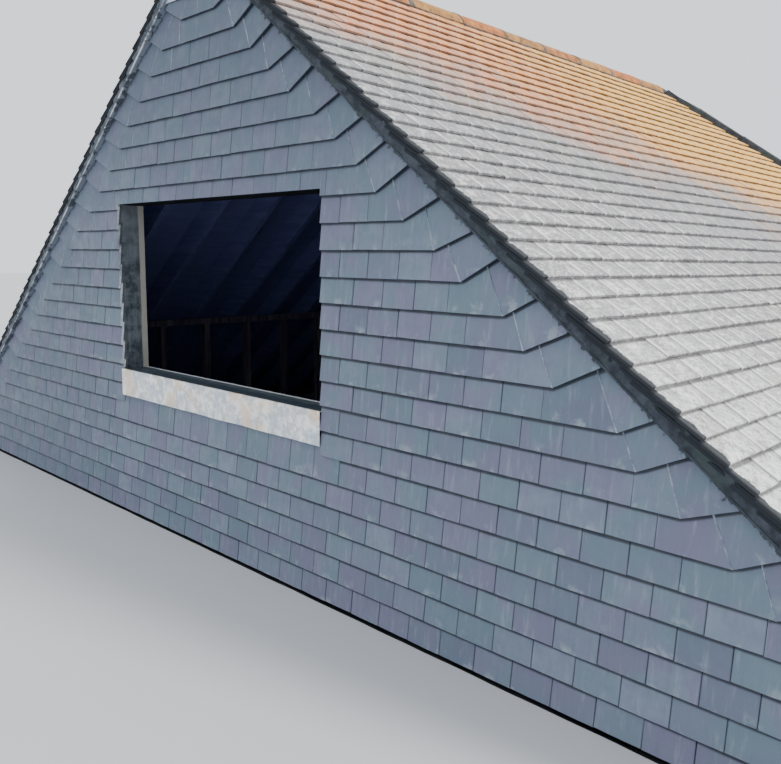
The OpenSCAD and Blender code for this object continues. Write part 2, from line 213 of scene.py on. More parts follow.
def addNode(tree, kind, inputs=None, **settings):
    node = tree.nodes.new(kind)
    for key, value in settings.items():
        setattr(node, key, value)
    for key, value in (inputs or {}).items():
        if isinstance(value, bpy.types.NodeSocket):
            tree.links.new(value, node.inputs[key])
        else:
            node.inputs[key].default_value = value
    return node


def noiseOf(vector, scale, detail=4.0, roughness=0.55, distortion=0.0):
    made = addNode(vector.id_data, "ShaderNodeTexNoise", {
        "Vector": vector, "Scale": scale, "Detail": detail,
        "Roughness": roughness, "Distortion": distortion})
    return made.outputs["Fac"]


def stretched(vector, scale, turn=(0.0, 0.0, 0.0)):
    made = addNode(vector.id_data, "ShaderNodeMapping", {
        "Vector": vector, "Scale": scale, "Rotation": turn})
    return made.outputs["Vector"]


def ramp(value, low, high, start=0.0, end=1.0):
    made = addNode(value.id_data, "ShaderNodeMapRange", {
        "Value": value, "From Min": low, "From Max": high,
        "To Min": start, "To Max": end}, interpolation_type="SMOOTHSTEP")
    return made.outputs["Result"]


def sums(kind, first, second):
    # One of the two is a socket, and the other may be a number
    tree = (first if isinstance(first, bpy.types.NodeSocket) else second).id_data
    return addNode(tree, "ShaderNodeMath", {0: first, 1: second}, operation=kind).outputs[0]


def plus(first, second):
    return sums("ADD", first, second)


def minus(first, second):
    return sums("SUBTRACT", first, second)


def times(first, second):
    return sums("MULTIPLY", first, second)


def fromMiddle(value):
    # Distance of a place on the tile from its middle line
    return sums("ABSOLUTE", minus(value, 0.5), 0.0)


def mixTone(share, first, second):
    made = addNode(share.id_data, "ShaderNodeMix", {0: share, 6: first, 7: second},
                   data_type="RGBA")
    return made.outputs[2]


def layOver(tone, colour, value, low, high, share=1.0):
    # Lays a colour over the tone, more of it as the value goes from low to high
    return mixTone(ramp(value, low, high, 0.0, share), tone, colour)


def endMaterial(made, tone, rise, strength, distance):
    # Joins the tone and a bump to the shader
    tree = made.node_tree
    shader = tree.nodes["Principled BSDF"]
    tree.links.new(tone, shader.inputs["Base Color"])
    bump = addNode(tree, "ShaderNodeBump", {
        "Height": rise, "Strength": strength, "Distance": distance})
    tree.links.new(bump.outputs["Normal"], shader.inputs["Normal"])
    return made


def objectPlace(tree):
    return addNode(tree, "ShaderNodeTexCoord").outputs["Object"]


def splitVector(vector):
    made = addNode(vector.id_data, "ShaderNodeSeparateXYZ", {"Vector": vector})
    return made.outputs["X"], made.outputs["Y"], made.outputs["Z"]


def facingUp(tree):
    # How far a face looks upwards, from -1 to 1
    return splitVector(addNode(tree, "ShaderNodeNewGeometry").outputs["Normal"])[2]


def tileTone(tree):
    # Three random numbers of each tile
    made = addNode(tree, "ShaderNodeAttribute", attribute_name="tone")
    return splitVector(made.outputs["Vector"])


def tilePlace(tree):
    # Place on the tile: across it from 0 to 1, and up from its tail
    made = addNode(tree, "ShaderNodeTexCoord")
    return splitVector(made.outputs["UV"])


stage = {
    "floorSize": 120.0, "floorDrop": 0.001, "floorColour": (0.56, 0.57, 0.58), "floorGrain": 0.97,
    "skyColour": (0.90, 0.94, 1.0), "skyStrength": 1.42, "keyTowards": (-0.62, -0.30, -0.72),
    "keyStrength": 2.9, "keySoftness": 16.0, "keyColour": (1.0, 0.97, 0.93),
}


def buildStage():
    bm = bmesh.new()
    bmesh.ops.create_grid(bm, x_segments=1, y_segments=1, size=stage["floorSize"] / 2)
    bmesh.ops.translate(bm, verts=bm.verts, vec=(0.0, 0.0, -stage["floorDrop"]))
    floor = linkObject("paleFloor", meshFrom(bm, "paleFloor"))
    made, tree, shader = startMaterial("palePaint", 0.9)
    grain = noiseOf(objectPlace(tree), 3.0)
    low = (*[c * stage["floorGrain"] for c in stage["floorColour"]], 1.0)
    tone = mixTone(grain, low, (*stage["floorColour"], 1.0))
    tree.links.new(tone, shader.inputs["Base Color"])
    floor.data.materials.append(made)
    world = bpy.data.worlds.new("softStudio")
    world.use_nodes = True
    background = world.node_tree.nodes["Background"]
    background.inputs["Color"].default_value = (*stage["skyColour"], 1.0)
    background.inputs["Strength"].default_value = stage["skyStrength"]
    bpy.context.scene.world = world
    lamp = bpy.data.lights.new("softKey", "SUN")
    lamp.energy = stage["keyStrength"]
    lamp.angle = math.radians(stage["keySoftness"])
    lamp.color = stage["keyColour"]
    holder = linkObject("softKey", lamp)
    holder.rotation_euler = Vector(stage["keyTowards"]).to_track_quat("-Z", "Y").to_euler()


buildStage()
print("stage ready")

# Finishes of tiles, caps and mortar

hungTone = {
    "pale": shade(118, 129, 147), "middle": shade(104, 115, 133), "deep": shade(90, 101, 120),
    "teal": shade(95, 119, 129), "plum": shade(110, 107, 133), "bloom": shade(162, 172, 180),
    "grimeAndShade": shade(30, 36, 48), "smear": shade(44, 52, 58), "gloom": shade(80, 92, 108),
}
hungPattern = {
    "cloud": 14.0, "fine": 150.0, "streak": (46.0, 46.0, 5.0), "tint": 6.5, "smear": 40.0,
    "lapShadeLine": (0.352, 0.384), "lapShadeShift": 0.024, "jointLine": (0.472, 0.5),
    "smearEdge": (0.016, 0.008), "smearRagged": 0.08, "smearShare": (0.6, 0.92),
}


def hungClay():
    made, tree, shader = startMaterial("hungClay", 0.6)
    place = objectPlace(tree)
    x, _, z = splitVector(place)
    light, hue, extra = tileTone(tree)
    u, v, _ = tilePlace(tree)
    cloud = noiseOf(place, hungPattern["cloud"], 5.0, 0.6)
    fine = noiseOf(place, hungPattern["fine"], 4.0, 0.65)
    streak = noiseOf(stretched(place, hungPattern["streak"]), 1.0, 4.0, 0.6)
    tint = noiseOf(place, hungPattern["tint"], 3.0, 0.5)
    tone = mixTone(light, hungTone["deep"], hungTone["pale"])
    tone = layOver(tone, hungTone["middle"], cloud, 0.35, 0.65, 0.5)
    tone = layOver(tone, hungTone["teal"], plus(times(hue, 0.4), tint), 0.55, 0.9, 0.6)
    turned = minus(1.0, tint)
    tone = layOver(tone, hungTone["plum"], plus(times(extra, 0.4), turned), 0.6, 0.95, 0.7)
    tone = layOver(tone, hungTone["bloom"], streak, 0.52, 0.8, 0.32)
    tone = layOver(tone, hungTone["deep"], streak, 0.46, 0.2, 0.5)
    tone = layOver(tone, hungTone["bloom"], fine, 0.6, 0.8, 0.3)
    blotch = times(ramp(v, 0.16, 0.0), ramp(cloud, 0.54, 0.68))
    tone = mixTone(times(blotch, 0.5), tone, hungTone["bloom"])
    # Dirt and painted shadow below each lap, less of it high up where the lap itself is seen from
    # below
    lapped = minus(v, ramp(z, 0.9, 2.3, 0.0, hungPattern["lapShadeShift"]))
    lapDirtAndShade = ramp(lapped, *hungPattern["lapShadeLine"])
    tone = mixTone(times(lapDirtAndShade, 0.9), tone, hungTone["grimeAndShade"])
    tone = layOver(tone, hungTone["grimeAndShade"], fromMiddle(u), *hungPattern["jointLine"], 0.5)
    # Duller towards the ridge and the left verge
    gloom = plus(ramp(z, 1.3, 2.5, 0.0, 0.65), ramp(x, -0.9, -1.8, 0.0, 0.35))
    tone = mixTone(gloom, tone, hungTone["gloom"])
    # Mortar smeared over the tiles along the verges
    across = times(sums("ABSOLUTE", x, 0.0), fall)
    below = times(minus(minus(apexZ, z), across), math.cos(pitch))
    smear = noiseOf(place, hungPattern["smear"], 4.0, 0.6)
    below = plus(below, times(minus(0.5, smear), hungPattern["smearRagged"]))
    ends = [building["bandDepth"] + reach for reach in hungPattern["smearEdge"]]
    stained = times(ramp(below, *ends), ramp(x, -0.01, 0.01, *hungPattern["smearShare"]))
    tone = mixTone(stained, tone, hungTone["smear"])
    # Painted shade on the faces that look downwards, the tails of the tiles
    tone = layOver(tone, hungTone["grimeAndShade"], facingUp(tree), -0.45, -0.8, 0.95)
    tree.links.new(ramp(cloud, 0.3, 0.7, 0.5, 0.78), shader.inputs["Roughness"])
    rise = plus(times(cloud, 0.7), times(fine, 0.35))
    return endMaterial(made, tone, rise, 0.55, 0.004)


roofTone = {
    "low": shade(236, 237, 237), "middle": shade(153, 153, 155), "peach": shade(238, 158, 94),
    "rose": shade(226, 148, 112), "gold": shade(250, 190, 88), "moss": shade(176, 182, 160),
    "bright": shade(252, 251, 248), "dark": shade(144, 141, 140), "grimeAndShade": shade(84, 82, 84),
    "verge": shade(34, 40, 46), "brown": shade(98, 78, 64),
}
roofPattern = {
    "broad": 0.9, "patch": 3.2, "cloud": 20.0, "fine": 75.0, "rearwards": 0.22,
    "sunsetFrom": 1.92, "sunsetFull": 2.66, "lapShadeLine": (0.318, 0.356), "jointLine": (0.465, 0.5),
    "vergeDirt": (0.056, 0.046), "vergeShare": 0.93,
}


def roofClay():
    made, tree, shader = startMaterial("roofClay", 0.9)
    shader.inputs["Specular IOR Level"].default_value = 0.15
    place = objectPlace(tree)
    _, y, z = splitVector(place)
    light, hue, _ = tileTone(tree)
    u, v, _ = tilePlace(tree)
    broad = noiseOf(place, roofPattern["broad"], 3.0)
    patch = noiseOf(place, roofPattern["patch"], 4.0, 0.6)
    cloud = noiseOf(place, roofPattern["cloud"], 5.0, 0.7)
    fine = noiseOf(place, roofPattern["fine"], 4.0, 0.75)
    # Painted warm evening sunlight grows towards the ridge and the rear
    height = plus(plus(z, times(y, roofPattern["rearwards"])), times(broad, 0.9))
    height = plus(height, times(plus(hue, light), 0.08))
    sunsetLight = ramp(height, roofPattern["sunsetFrom"], roofPattern["sunsetFull"])
    # Paler low down: painted glare of the sky on the lower roof
    tone = mixTone(ramp(height, 0.0, 1.5), roofTone["low"], roofTone["middle"])
    tone = layOver(tone, roofTone["moss"], patch, 0.52, 0.7, 0.45)
    tone = mixTone(sunsetLight, tone, roofTone["peach"])
    rosy = ramp(plus(hue, patch), 0.9, 1.45, 0.0, 0.7)
    tone = mixTone(times(sunsetLight, rosy), tone, roofTone["rose"])
    golden = ramp(plus(y, times(patch, 1.6)), -2.3, 0.1)
    tone = mixTone(times(sunsetLight, golden), tone, roofTone["gold"])
    tone = layOver(tone, roofTone["dark"], light, 0.3, 0.0, 0.16)
    # Mottling, which the painted sunset light hides
    cool = ramp(height, 0.9, 2.3, 1.0, 0.22)
    for value, low, high, colour in ((cloud, 0.5, 0.62, "bright"), (cloud, 0.48, 0.34, "dark"),
                                     (fine, 0.5, 0.36, "dark"), (fine, 0.52, 0.64, "bright")):
        share = times(ramp(value, low, high, 0.0, 0.7), cool)
        tone = mixTone(share, tone, roofTone[colour])
    # Each tile is lit along one side and darker along the other
    lit = times(ramp(u, 0.18, 0.02, 0.0, 0.75), cool)
    tone = mixTone(lit, tone, roofTone["bright"])
    tone = layOver(tone, roofTone["dark"], u, 0.72, 1.0, 0.5)
    # Dirt and painted shadow below the laps, dirt in the joints, and painted shade on the tails
    dirtAndShadeTone = mixTone(sunsetLight, roofTone["grimeAndShade"], roofTone["brown"])
    lapDirtAndShade = ramp(v, *roofPattern["lapShadeLine"])
    tone = mixTone(times(lapDirtAndShade, 0.8), tone, dirtAndShadeTone)
    tone = layOver(tone, dirtAndShadeTone, fromMiddle(u), *roofPattern["jointLine"], 0.6)
    tailShade = times(ramp(facingUp(tree), 0.35, -0.1), ramp(sunsetLight, 0.0, 1.0, 0.45, 0.8))
    tone = mixTone(tailShade, tone, dirtAndShadeTone)
    # Moss and dirt on the outer ends of the verge tiles
    ragged = plus(y, times(cloud, 0.05))
    ends = [vergeY + reach for reach in roofPattern["vergeDirt"]]
    tone = layOver(tone, roofTone["verge"], ragged, *ends, roofPattern["vergeShare"])
    rise = plus(times(cloud, 0.6), times(fine, 0.5))
    return endMaterial(made, tone, rise, 0.6, 0.003)


def capClay(name, tones, patchScale):
    # The tones are two of the clay, its tint, its pale bloom and its dirt
    made, tree, _ = startMaterial(name, 0.85)
    place = objectPlace(tree)
    light, hue, _ = tileTone(tree)
    patch = noiseOf(place, patchScale, 4.0, 0.6)
    cloud = noiseOf(place, 17.0, 6.0, 0.7)
    fine = noiseOf(place, 160.0, 4.0, 0.7)
    share = plus(times(light, 0.5), patch)
    tone = layOver(tones[0], tones[1], share, 0.5, 1.0)
    tone = layOver(tone, tones[2], plus(hue, patch), 0.85, 1.3, 0.8)
    tone = layOver(tone, tones[3], cloud, 0.53, 0.66, 0.7)
    tone = layOver(tone, tones[4], cloud, 0.47, 0.34, 0.7)
    return endMaterial(made, tone, plus(cloud, times(fine, 0.4)), 0.6, 0.004)


def mortarFinish(name, deep, pale, green, lapShadeFrom=None):
    made, tree, _ = startMaterial(name, 0.95)
    place = objectPlace(tree)
    cloud = noiseOf(place, 18.0, 6.0, 0.7)
    grit = noiseOf(place, 140.0, 4.0, 0.7)
    patch = noiseOf(place, 4.0, 4.0, 0.6)
    tone = layOver(deep, pale, cloud, 0.35, 0.65)
    tone = layOver(tone, green, patch, 0.5, 0.66, 0.7)
    tone = layOver(tone, pale, grit, 0.55, 0.75, 0.5)
    if lapShadeFrom is not None:
        # The part of an edge that the next course covers gets painted shade
        along = plus(tilePlace(tree)[1], times(grit, 0.2))
        tone = layOver(tone, shade(52, 58, 66), along, lapShadeFrom, lapShadeFrom + 0.06, 0.9)
    return endMaterial(made, tone, plus(cloud, times(grit, 0.5)), 0.8, 0.006)


hungFinish = hungClay()
roofFinish = roofClay()
ridgeFinish = capClay("ridgeClay", [shade(122, 78, 46), shade(186, 132, 68), shade(188, 106, 52),
                                    shade(200, 164, 104), shade(66, 58, 46)], 7.0)
hipFinish = capClay("hipClay", [shade(40, 42, 46), shade(70, 72, 76), shade(56, 62, 58),
                                shade(104, 104, 104), shade(26, 27, 30)], 4.0)
vergeMortar = mortarFinish("vergeMortar", shade(38, 43, 52), shade(66, 73, 82), shade(50, 64, 60))
paleMortar = mortarFinish("paleMortar", shade(66, 74, 86), shade(112, 120, 132), shade(74, 86, 88))
capMortar = mortarFinish("capMortar", shade(74, 66, 60), shade(128, 118, 108), shade(84, 84, 70))
cutFinish = mortarFinish("cutClayEdge", shade(112, 122, 140), shade(176, 186, 200),
                         shade(84, 94, 110))
# A much paler copy of the cut clay edge: painted light on the cut faces at the opening
jambEdgeLitAndShaded = mortarFinish("jambClayEdgeLitAndShaded", shade(178, 188, 198), shade(246, 248, 250),
                        shade(96, 106, 122), 0.58)
print("clay finishes ready")

# Tile fields: one tile is spread over the courses and made one mesh

def onRim(edge, values):
    # Whether an edge of the outer face lies along the tail or a side
    ends = [vert.co for vert in edge.verts]
    if any(end.z <= -values["thick"] * 0.5 for end in ends):
        return False
    if all(end.y < tiny for end in ends):
        return True
    beside = all(abs(abs(end.x) - values["width"] / 2) < tiny for end in ends)
    return beside and abs(ends[0].y - ends[1].y) > tiny


def tileTemplate(name, values):
    # One tile with its tail along y = 0 and its outer face at z = 0
    bm = bmesh.new()
    bmesh.ops.create_grid(bm, x_segments=values["acrossSteps"], y_segments=values["alongSteps"],
                          size=0.5)
    bmesh.ops.translate(bm, verts=bm.verts, vec=(0.0, 0.5, 0.0))
    bmesh.ops.extrude_face_region(bm, geom=bm.faces[:])
    bm.verts.ensure_lookup_table()
    lower = bm.verts[len(bm.verts) // 2:]
    bmesh.ops.translate(bm, verts=lower, vec=(0.0, 0.0, -1.0))
    bmesh.ops.recalc_face_normals(bm, faces=bm.faces)
    bmesh.ops.scale(bm, verts=bm.verts, vec=(values["width"], values["length"], values["thick"]))
    for vert in bm.verts:
        share = 2.0 * vert.co.x / values["width"]
        vert.co.z += values["camber"] * (0.4 - share * share)
        vert.co.z -= values["dish"] * (vert.co.y / values["length"]) ** 2
    bevelEdges(bm, [e for e in bm.edges if onRim(e, values)], values["edge"])
    uv = bm.loops.layers.uv.new("tileMap")
    for face in bm.faces:
        for loop in face.loops:
            place = loop.vert.co
            loop[uv].uv = (place.x / values["width"] + 0.5, place.y / values["length"])
    return linkObject(name, meshFrom(bm, name))


def tileSpreader(name, template):
    group = bpy.data.node_groups.new(name, "GeometryNodeTree")
    for way in ("INPUT", "OUTPUT"):
        group.interface.new_socket("Geometry", in_out=way, socket_type="NodeSocketGeometry")
    start = addNode(group, "NodeGroupInput")
    tile = addNode(group, "GeometryNodeObjectInfo", {"Object": template},
                   transform_space="ORIGINAL")
    turn, size = [addNode(group, "GeometryNodeInputNamedAttribute", {"Name": key},
                          data_type="FLOAT_VECTOR") for key in ("turn", "size")]
    turning = addNode(group, "FunctionNodeEulerToRotation", {"Euler": turn.outputs["Attribute"]})
    spread = addNode(group, "GeometryNodeInstanceOnPoints", {
        "Points": start.outputs[0], "Instance": tile.outputs["Geometry"],
        "Rotation": turning.outputs["Rotation"], "Scale": size.outputs["Attribute"]})
    whole = addNode(group, "GeometryNodeRealizeInstances", {"Geometry": spread.outputs["Instances"]})
    addNode(group, "NodeGroupOutput", {0: whole.outputs["Geometry"]})
    return group


def spreadTiles(name, template, spots):
    # A batch with one tile at each spot, which says its place, turn, size and tone
    bm = bmesh.new()
    layers = [bm.verts.layers.float_vector.new(key) for key in ("turn", "size", "tone")]
    for place, *values in spots:
        vert = bm.verts.new(place)
        for layer, value in zip(layers, values):
            vert[layer] = Vector(value)
    mesh = bpy.data.meshes.new(name + "Spots")
    bm.to_mesh(mesh)
    bm.free()
    holder = linkObject(name + "Spots", mesh)
    spreader = holder.modifiers.new("spread", "NODES")
    spreader.node_group = tileSpreader(name + "Spread", template)
    depsgraph = bpy.context.evaluated_depsgraph_get()
    made = bpy.data.meshes.new_from_object(holder.evaluated_get(depsgraph))
    bpy.data.objects.remove(holder)
    for spare in ("turn", "size"):
        if spare in made.attributes:
            made.attributes.remove(made.attributes[spare])
    batch = bmesh.new()
    batch.from_mesh(made)
    bpy.data.meshes.remove(made)
    return batch


def slopeTurn(across, upwards, tilt):
    # Turn of a tile whose tail runs across and whose body climbs upwards
    basis = Matrix((across, upwards, across.cross(upwards))).transposed()
    return basis @ Matrix.Rotation(-tilt, 3, "X")


def unevenTurn(draw, basis, values):
    turn = basis @ Matrix.Rotation(draw.gauss(0.0, values["turnJitter"]), 3, "Z")
    turn = turn @ Matrix.Rotation(draw.gauss(0.0, values["turnJitter"]), 3, "Y")
    return turn.to_euler()


def randomTone(draw):
    return (draw.random(), draw.random(), draw.random())


def holdBehind(bm, front):
    for vert in bm.verts:
        vert.co.y = max(vert.co.y, front)


roofTiles = {
    "length": 0.265, "width": 0.165, "thick": 0.012, "joint": 0.002, "gauge": 0.1,
    "eavesGauge": 0.074, "courses": 46, "camber": 0.0014, "dish": 0.001, "edge": 0.003,
    "acrossSteps": 4, "alongSteps": 1, "turnJitter": 0.007, "liftJitter": 0.0014,
    "slipJitter": 0.0028, "seed": 31, "underDepth": 0.0125, "underLength": 0.62,
    "overrun": 0.02, "rearStart": 0.2, "rearEnd": 0.1, "ridgeGap": 0.012,
    "uneven": (0.0011, 21.0),
}
roofTilt = math.asin(roofTiles["thick"] / roofTiles["gauge"])


def tailRun(course):
    # Distance of a course's tail from the ridge line, down the slope
    if course <= 0:
        return eavesRun
    return eavesRun - roofTiles["eavesGauge"] - (course - 1) * roofTiles["gauge"]


def courseSpots(draw, course, starts, ends, startWide, origin, across, upwards):
    # Tiles of one roof course, from starts to ends; course -1 lies short under the lowest one
    spots = []
    depth, share = (roofTiles["underDepth"], roofTiles["underLength"]) if course < 0 else (0.0, 1.0)
    basis = slopeTurn(across, upwards, roofTilt)
    outwards = across.cross(upwards)
    tail = origin - upwards * tailRun(course) - outwards * depth
    step = roofTiles["width"] + roofTiles["joint"]
    place = starts
    wave = draw.uniform(0.0, 6.0)
    while place < ends:
        span = step * (1.5 if startWide and place == starts else 1.0)
        centre = place + span / 2
        slip = draw.gauss(0.0, roofTiles["slipJitter"] * 0.5)
        slip += roofTiles["slipJitter"] * 0.6 * math.sin(centre * 1.7 + wave)
        lift = draw.uniform(-roofTiles["liftJitter"], roofTiles["liftJitter"] * 0.3)
        here = tail + across * centre + upwards * slip + outwards * lift
        turn = unevenTurn(draw, basis, roofTiles)
        size = ((span - roofTiles["joint"]) / roofTiles["width"], share, 1.0)
        spots.append((here, turn, size, randomTone(draw)))
        place += span
    return spots


def buildRoofTiles():
    template = tileTemplate("roofTile", roofTiles)
    courses = range(-1, roofTiles["courses"] + 1)
    ridgeEnd = axisY * ridgeEndY
    upSide = Vector((-math.cos(pitch), 0.0, math.sin(pitch)))
    upRear = Vector((0.0, -math.cos(pitch), math.sin(pitch)))
    for side, sign in bothSides:
        name = "roofTileCourses_" + side
        draw = random.Random(roofTiles["seed"] + int(sign))
        spots = []
        for course in courses:
            reach = ridgeEndY + tailRun(course) * math.cos(pitch) + roofTiles["overrun"]
            spots += courseSpots(draw, course, 0.0, reach - vergeY, course % 2 == 1,
                                 Vector((0.0, vergeY, apexZ)), axisY, upSide)
        bm = spreadTiles(name, template, spots)
        cutTiles(bm, ridgeEnd, (axisY - axisX).normalized())
        cutTiles(bm, axisX * roofTiles["ridgeGap"], -axisX)
        roughen(bm, *roofTiles["uneven"], 3.0 + sign)
        holdBehind(bm, vergeY)
        if sign < 0.0:
            mirrorSide(bm, sign)
            bmesh.ops.recalc_face_normals(bm, faces=bm.faces)
        finishPiece(name, meshFrom(bm, name, 40.0), [roofFinish],
                    ["roof_tiles_" + side])
    name = "roofTileCourses_rear"
    draw = random.Random(roofTiles["seed"] + 7)
    spots = []
    for course in courses:
        reach = tailRun(course) * math.cos(pitch) + roofTiles["overrun"]
        shift = roofTiles["width"] * (0.5 if max(course, 0) % 2 else 0.0)
        spots += courseSpots(draw, course, -reach - roofTiles["rearStart"] + shift,
                             reach + roofTiles["rearEnd"], False,
                             Vector((0.0, ridgeEndY, apexZ)), -axisX, upRear)
    bm = spreadTiles(name, template, spots)
    for sign in (1.0, -1.0):
        cutTiles(bm, ridgeEnd, Vector((sign, -1.0, 0.0)).normalized())
    roughen(bm, *roofTiles["uneven"], 9.0)
    finishPiece(name, meshFrom(bm, name, 40.0), [roofFinish], ["roof_tiles_rear"])
    bpy.data.objects.remove(template)


buildRoofTiles()
print("roof tiles laid")

# Hung tiles

hungTiles = {
    "length": 0.265, "width": 0.1658, "thick": 0.012, "joint": 0.0012, "gauge": 0.11,
    "base": 0.015, "camber": 0.0016, "dish": 0.0, "edge": 0.0013, "acrossSteps": 6,
    "alongSteps": 2, "turnJitter": 0.004, "liftJitter": 0.0012, "slipJitter": 0.0012,
    "seed": 5, "courses": 27, "leastTaper": 0.142, "leastStrip": 0.06, "bendDistance": 0.16,
    "bendJitter": 0.018, "bendSeed": 17, "underCourses": 6, "cutCourse": 16, "proud": 0.0008,
    "lapShare": 0.5, "uneven": (0.0006, 30.0),
}
hungTilt = math.asin(hungTiles["thick"] / hungTiles["gauge"])
hungBasis = slopeTurn(axisX, axisZ, hungTilt)
hungPitch = hungTiles["width"] + hungTiles["joint"]

# How many centimetres the bends lie off their line: first course, then one value a course
bendsOff = {
    "right": (6, (2, 0, -1, 6, -4, -2, 3, -2, -1, -3, -4, -1, 0, 1)),
    "left": (16, (-3, -3, -3, -2, 2, 2, 3, 5)),
}


def courseZ(course):
    return hungTiles["base"] + course * hungTiles["gauge"]


def bendTable():
    # Where each course bends, as a distance from the middle
    draw = random.Random(hungTiles["bendSeed"])
    table = {}
    for side, _ in bothSides:
        first, offsets = bendsOff[side]
        for course in range(-1, hungTiles["courses"] + 1):
            planned = runAt(building["bandDepth"] + hungTiles["bendDistance"], courseZ(course))
            if first <= course < first + len(offsets):
                planned += 0.01 * offsets[course - first]
            else:
                planned += draw.uniform(-hungTiles["bendJitter"], hungTiles["bendJitter"])
            table[side, course] = planned
    return table


bends = bendTable()


def jointShift(course):
    return hungPitch / 2 if course % 2 == 0 else 0.0


def lastJoint(side, course):
    room = bends[side, course] - hungTiles["leastTaper"] - jointShift(course)
    return jointShift(course) + hungPitch * math.floor(room / hungPitch)


def fieldEnd(side, course):
    # Both ends meet in the middle where no whole tile fits between the tapered ones
    ends = [lastJoint(s, course) for s in ("left", "right")]
    if min(ends) <= 0.0 and jointShift(course) > 0.0:
        return 0.0
    return max(lastJoint(side, course), 0.0)


def hungSpot(draw, x, z, width):
    lift = draw.uniform(0.0, hungTiles["liftJitter"])
    slip = draw.uniform(-hungTiles["slipJitter"], hungTiles["slipJitter"])
    turn = unevenTurn(draw, hungBasis, hungTiles)
    place = Vector((x, faceY + lift + hungTiles["proud"], z + slip))
    return (place, turn, (width, 1.0, 1.0), randomTone(draw))


def hungSpots():
    # Spots of the whole tiles of each field, and of those at the opening, which are cut
    draw = random.Random(hungTiles["seed"])
    whole = {"left": [], "right": [], "over": [], "under": []}
    cut = {"left": [], "right": [], "over": [], "under": []}
    low, high = hungTiles["underCourses"], hungTiles["cutCourse"]
    for course in range(hungTiles["courses"]):
        left, right = -fieldEnd("left", course), fieldEnd("right", course)
        for i in range(round((right - left) / hungPitch)):
            x = left + (i + 0.5) * hungPitch
            width = 1.0
            if low <= course <= high:
                # A strip that is too narrow is one piece with the next tile
                strip = abs(x) + hungPitch / 2 - openingX
                if 0.0 < strip < hungTiles["leastStrip"] and course < high:
                    continue
                if 0.0 < strip - hungPitch < hungTiles["leastStrip"]:
                    width = 2.0
                    x -= math.copysign(hungPitch / 2, x)
            spot = hungSpot(draw, x, courseZ(course), width)
            side = "right" if x > 0.0 else "left"
            near, far = [abs(x) + width * end * hungPitch / 2 for end in (-1.0, 1.0)]
            if course > high:
                whole["over"].append(spot)
            elif course < low - 1 or course < low and near >= openingX:
                whole[side if abs(x) > openingX else "under"].append(spot)
            elif course < low:
                cut["under"].append(spot)
            else:
                if far > openingX:
                    (whole if near > openingX else cut)[side].append(spot)
                if course == high and near < openingX:
                    cut["over"].append(spot)
    return whole, cut


def buildHungTiles():
    template = tileTemplate("hungTile", hungTiles)
    whole, cut = hungSpots()
    for field in ("left", "right", "over", "under"):
        name = "hungTileCourses_" + field
        bm = spreadTiles(name, template, whole[field])
        part = spreadTiles(name + "Cut", template, cut[field])
        if field == "over":
            cutTiles(part, axisZ * building["headZ"], -axisZ)
            for sign in (1.0, -1.0):
                cutTiles(part, axisX * (sign * openingX), axisX * sign, 1)
        elif field == "under":
            # The tall course below the opening has no lap over it, so its map is squeezed to lift
            # the painted lap shadow out of sight
            uv = part.loops.layers.uv["tileMap"]
            for face in part.faces:
                for loop in face.loops:
                    loop[uv].uv.y *= hungTiles["lapShare"]
        else:
            sign = 1.0 if field == "right" else -1.0
            cutTiles(part, axisX * (sign * openingX), axisX * -sign, 1)
        pourInto(bm, part)
        roughen(bm, *hungTiles["uneven"], 2.0)
        holdBehind(bm, faceY)
        finishPiece(name, meshFrom(bm, name), [hungFinish, jambEdgeLitAndShaded],
                    ["tile_hanging_" + field])
    bpy.data.objects.remove(template)


buildHungTiles()
print("hung tiles laid")

# Cut tiles of the verges, laid to the bend of each course

vergeTiles = {
    "splay": 24.0, "splayJitter": 4.5, "joint": 0.0008, "edge": 0.0011,
    "chipped": (0.0018, 0.0046), "cell": 0.034, "seed": 23, "topCourse": 26,
    "leastWidth": 0.02, "middleGap": 0.0004, "uneven": (0.0005, 30.0),
}


def cellCuts(bm, axis, cell):
    # Splits a flat piece into cells along one axis
    low = min(v.co[axis] for v in bm.verts)
    high = max(v.co[axis] for v in bm.verts)
    normal = (axisX, axisY)[axis]
    for i in range(1, math.ceil((high - low) / cell)):
        bmesh.ops.bisect_plane(bm, geom=everything(bm), dist=tiny,
                               plane_co=normal * (low + i * cell), plane_no=normal)


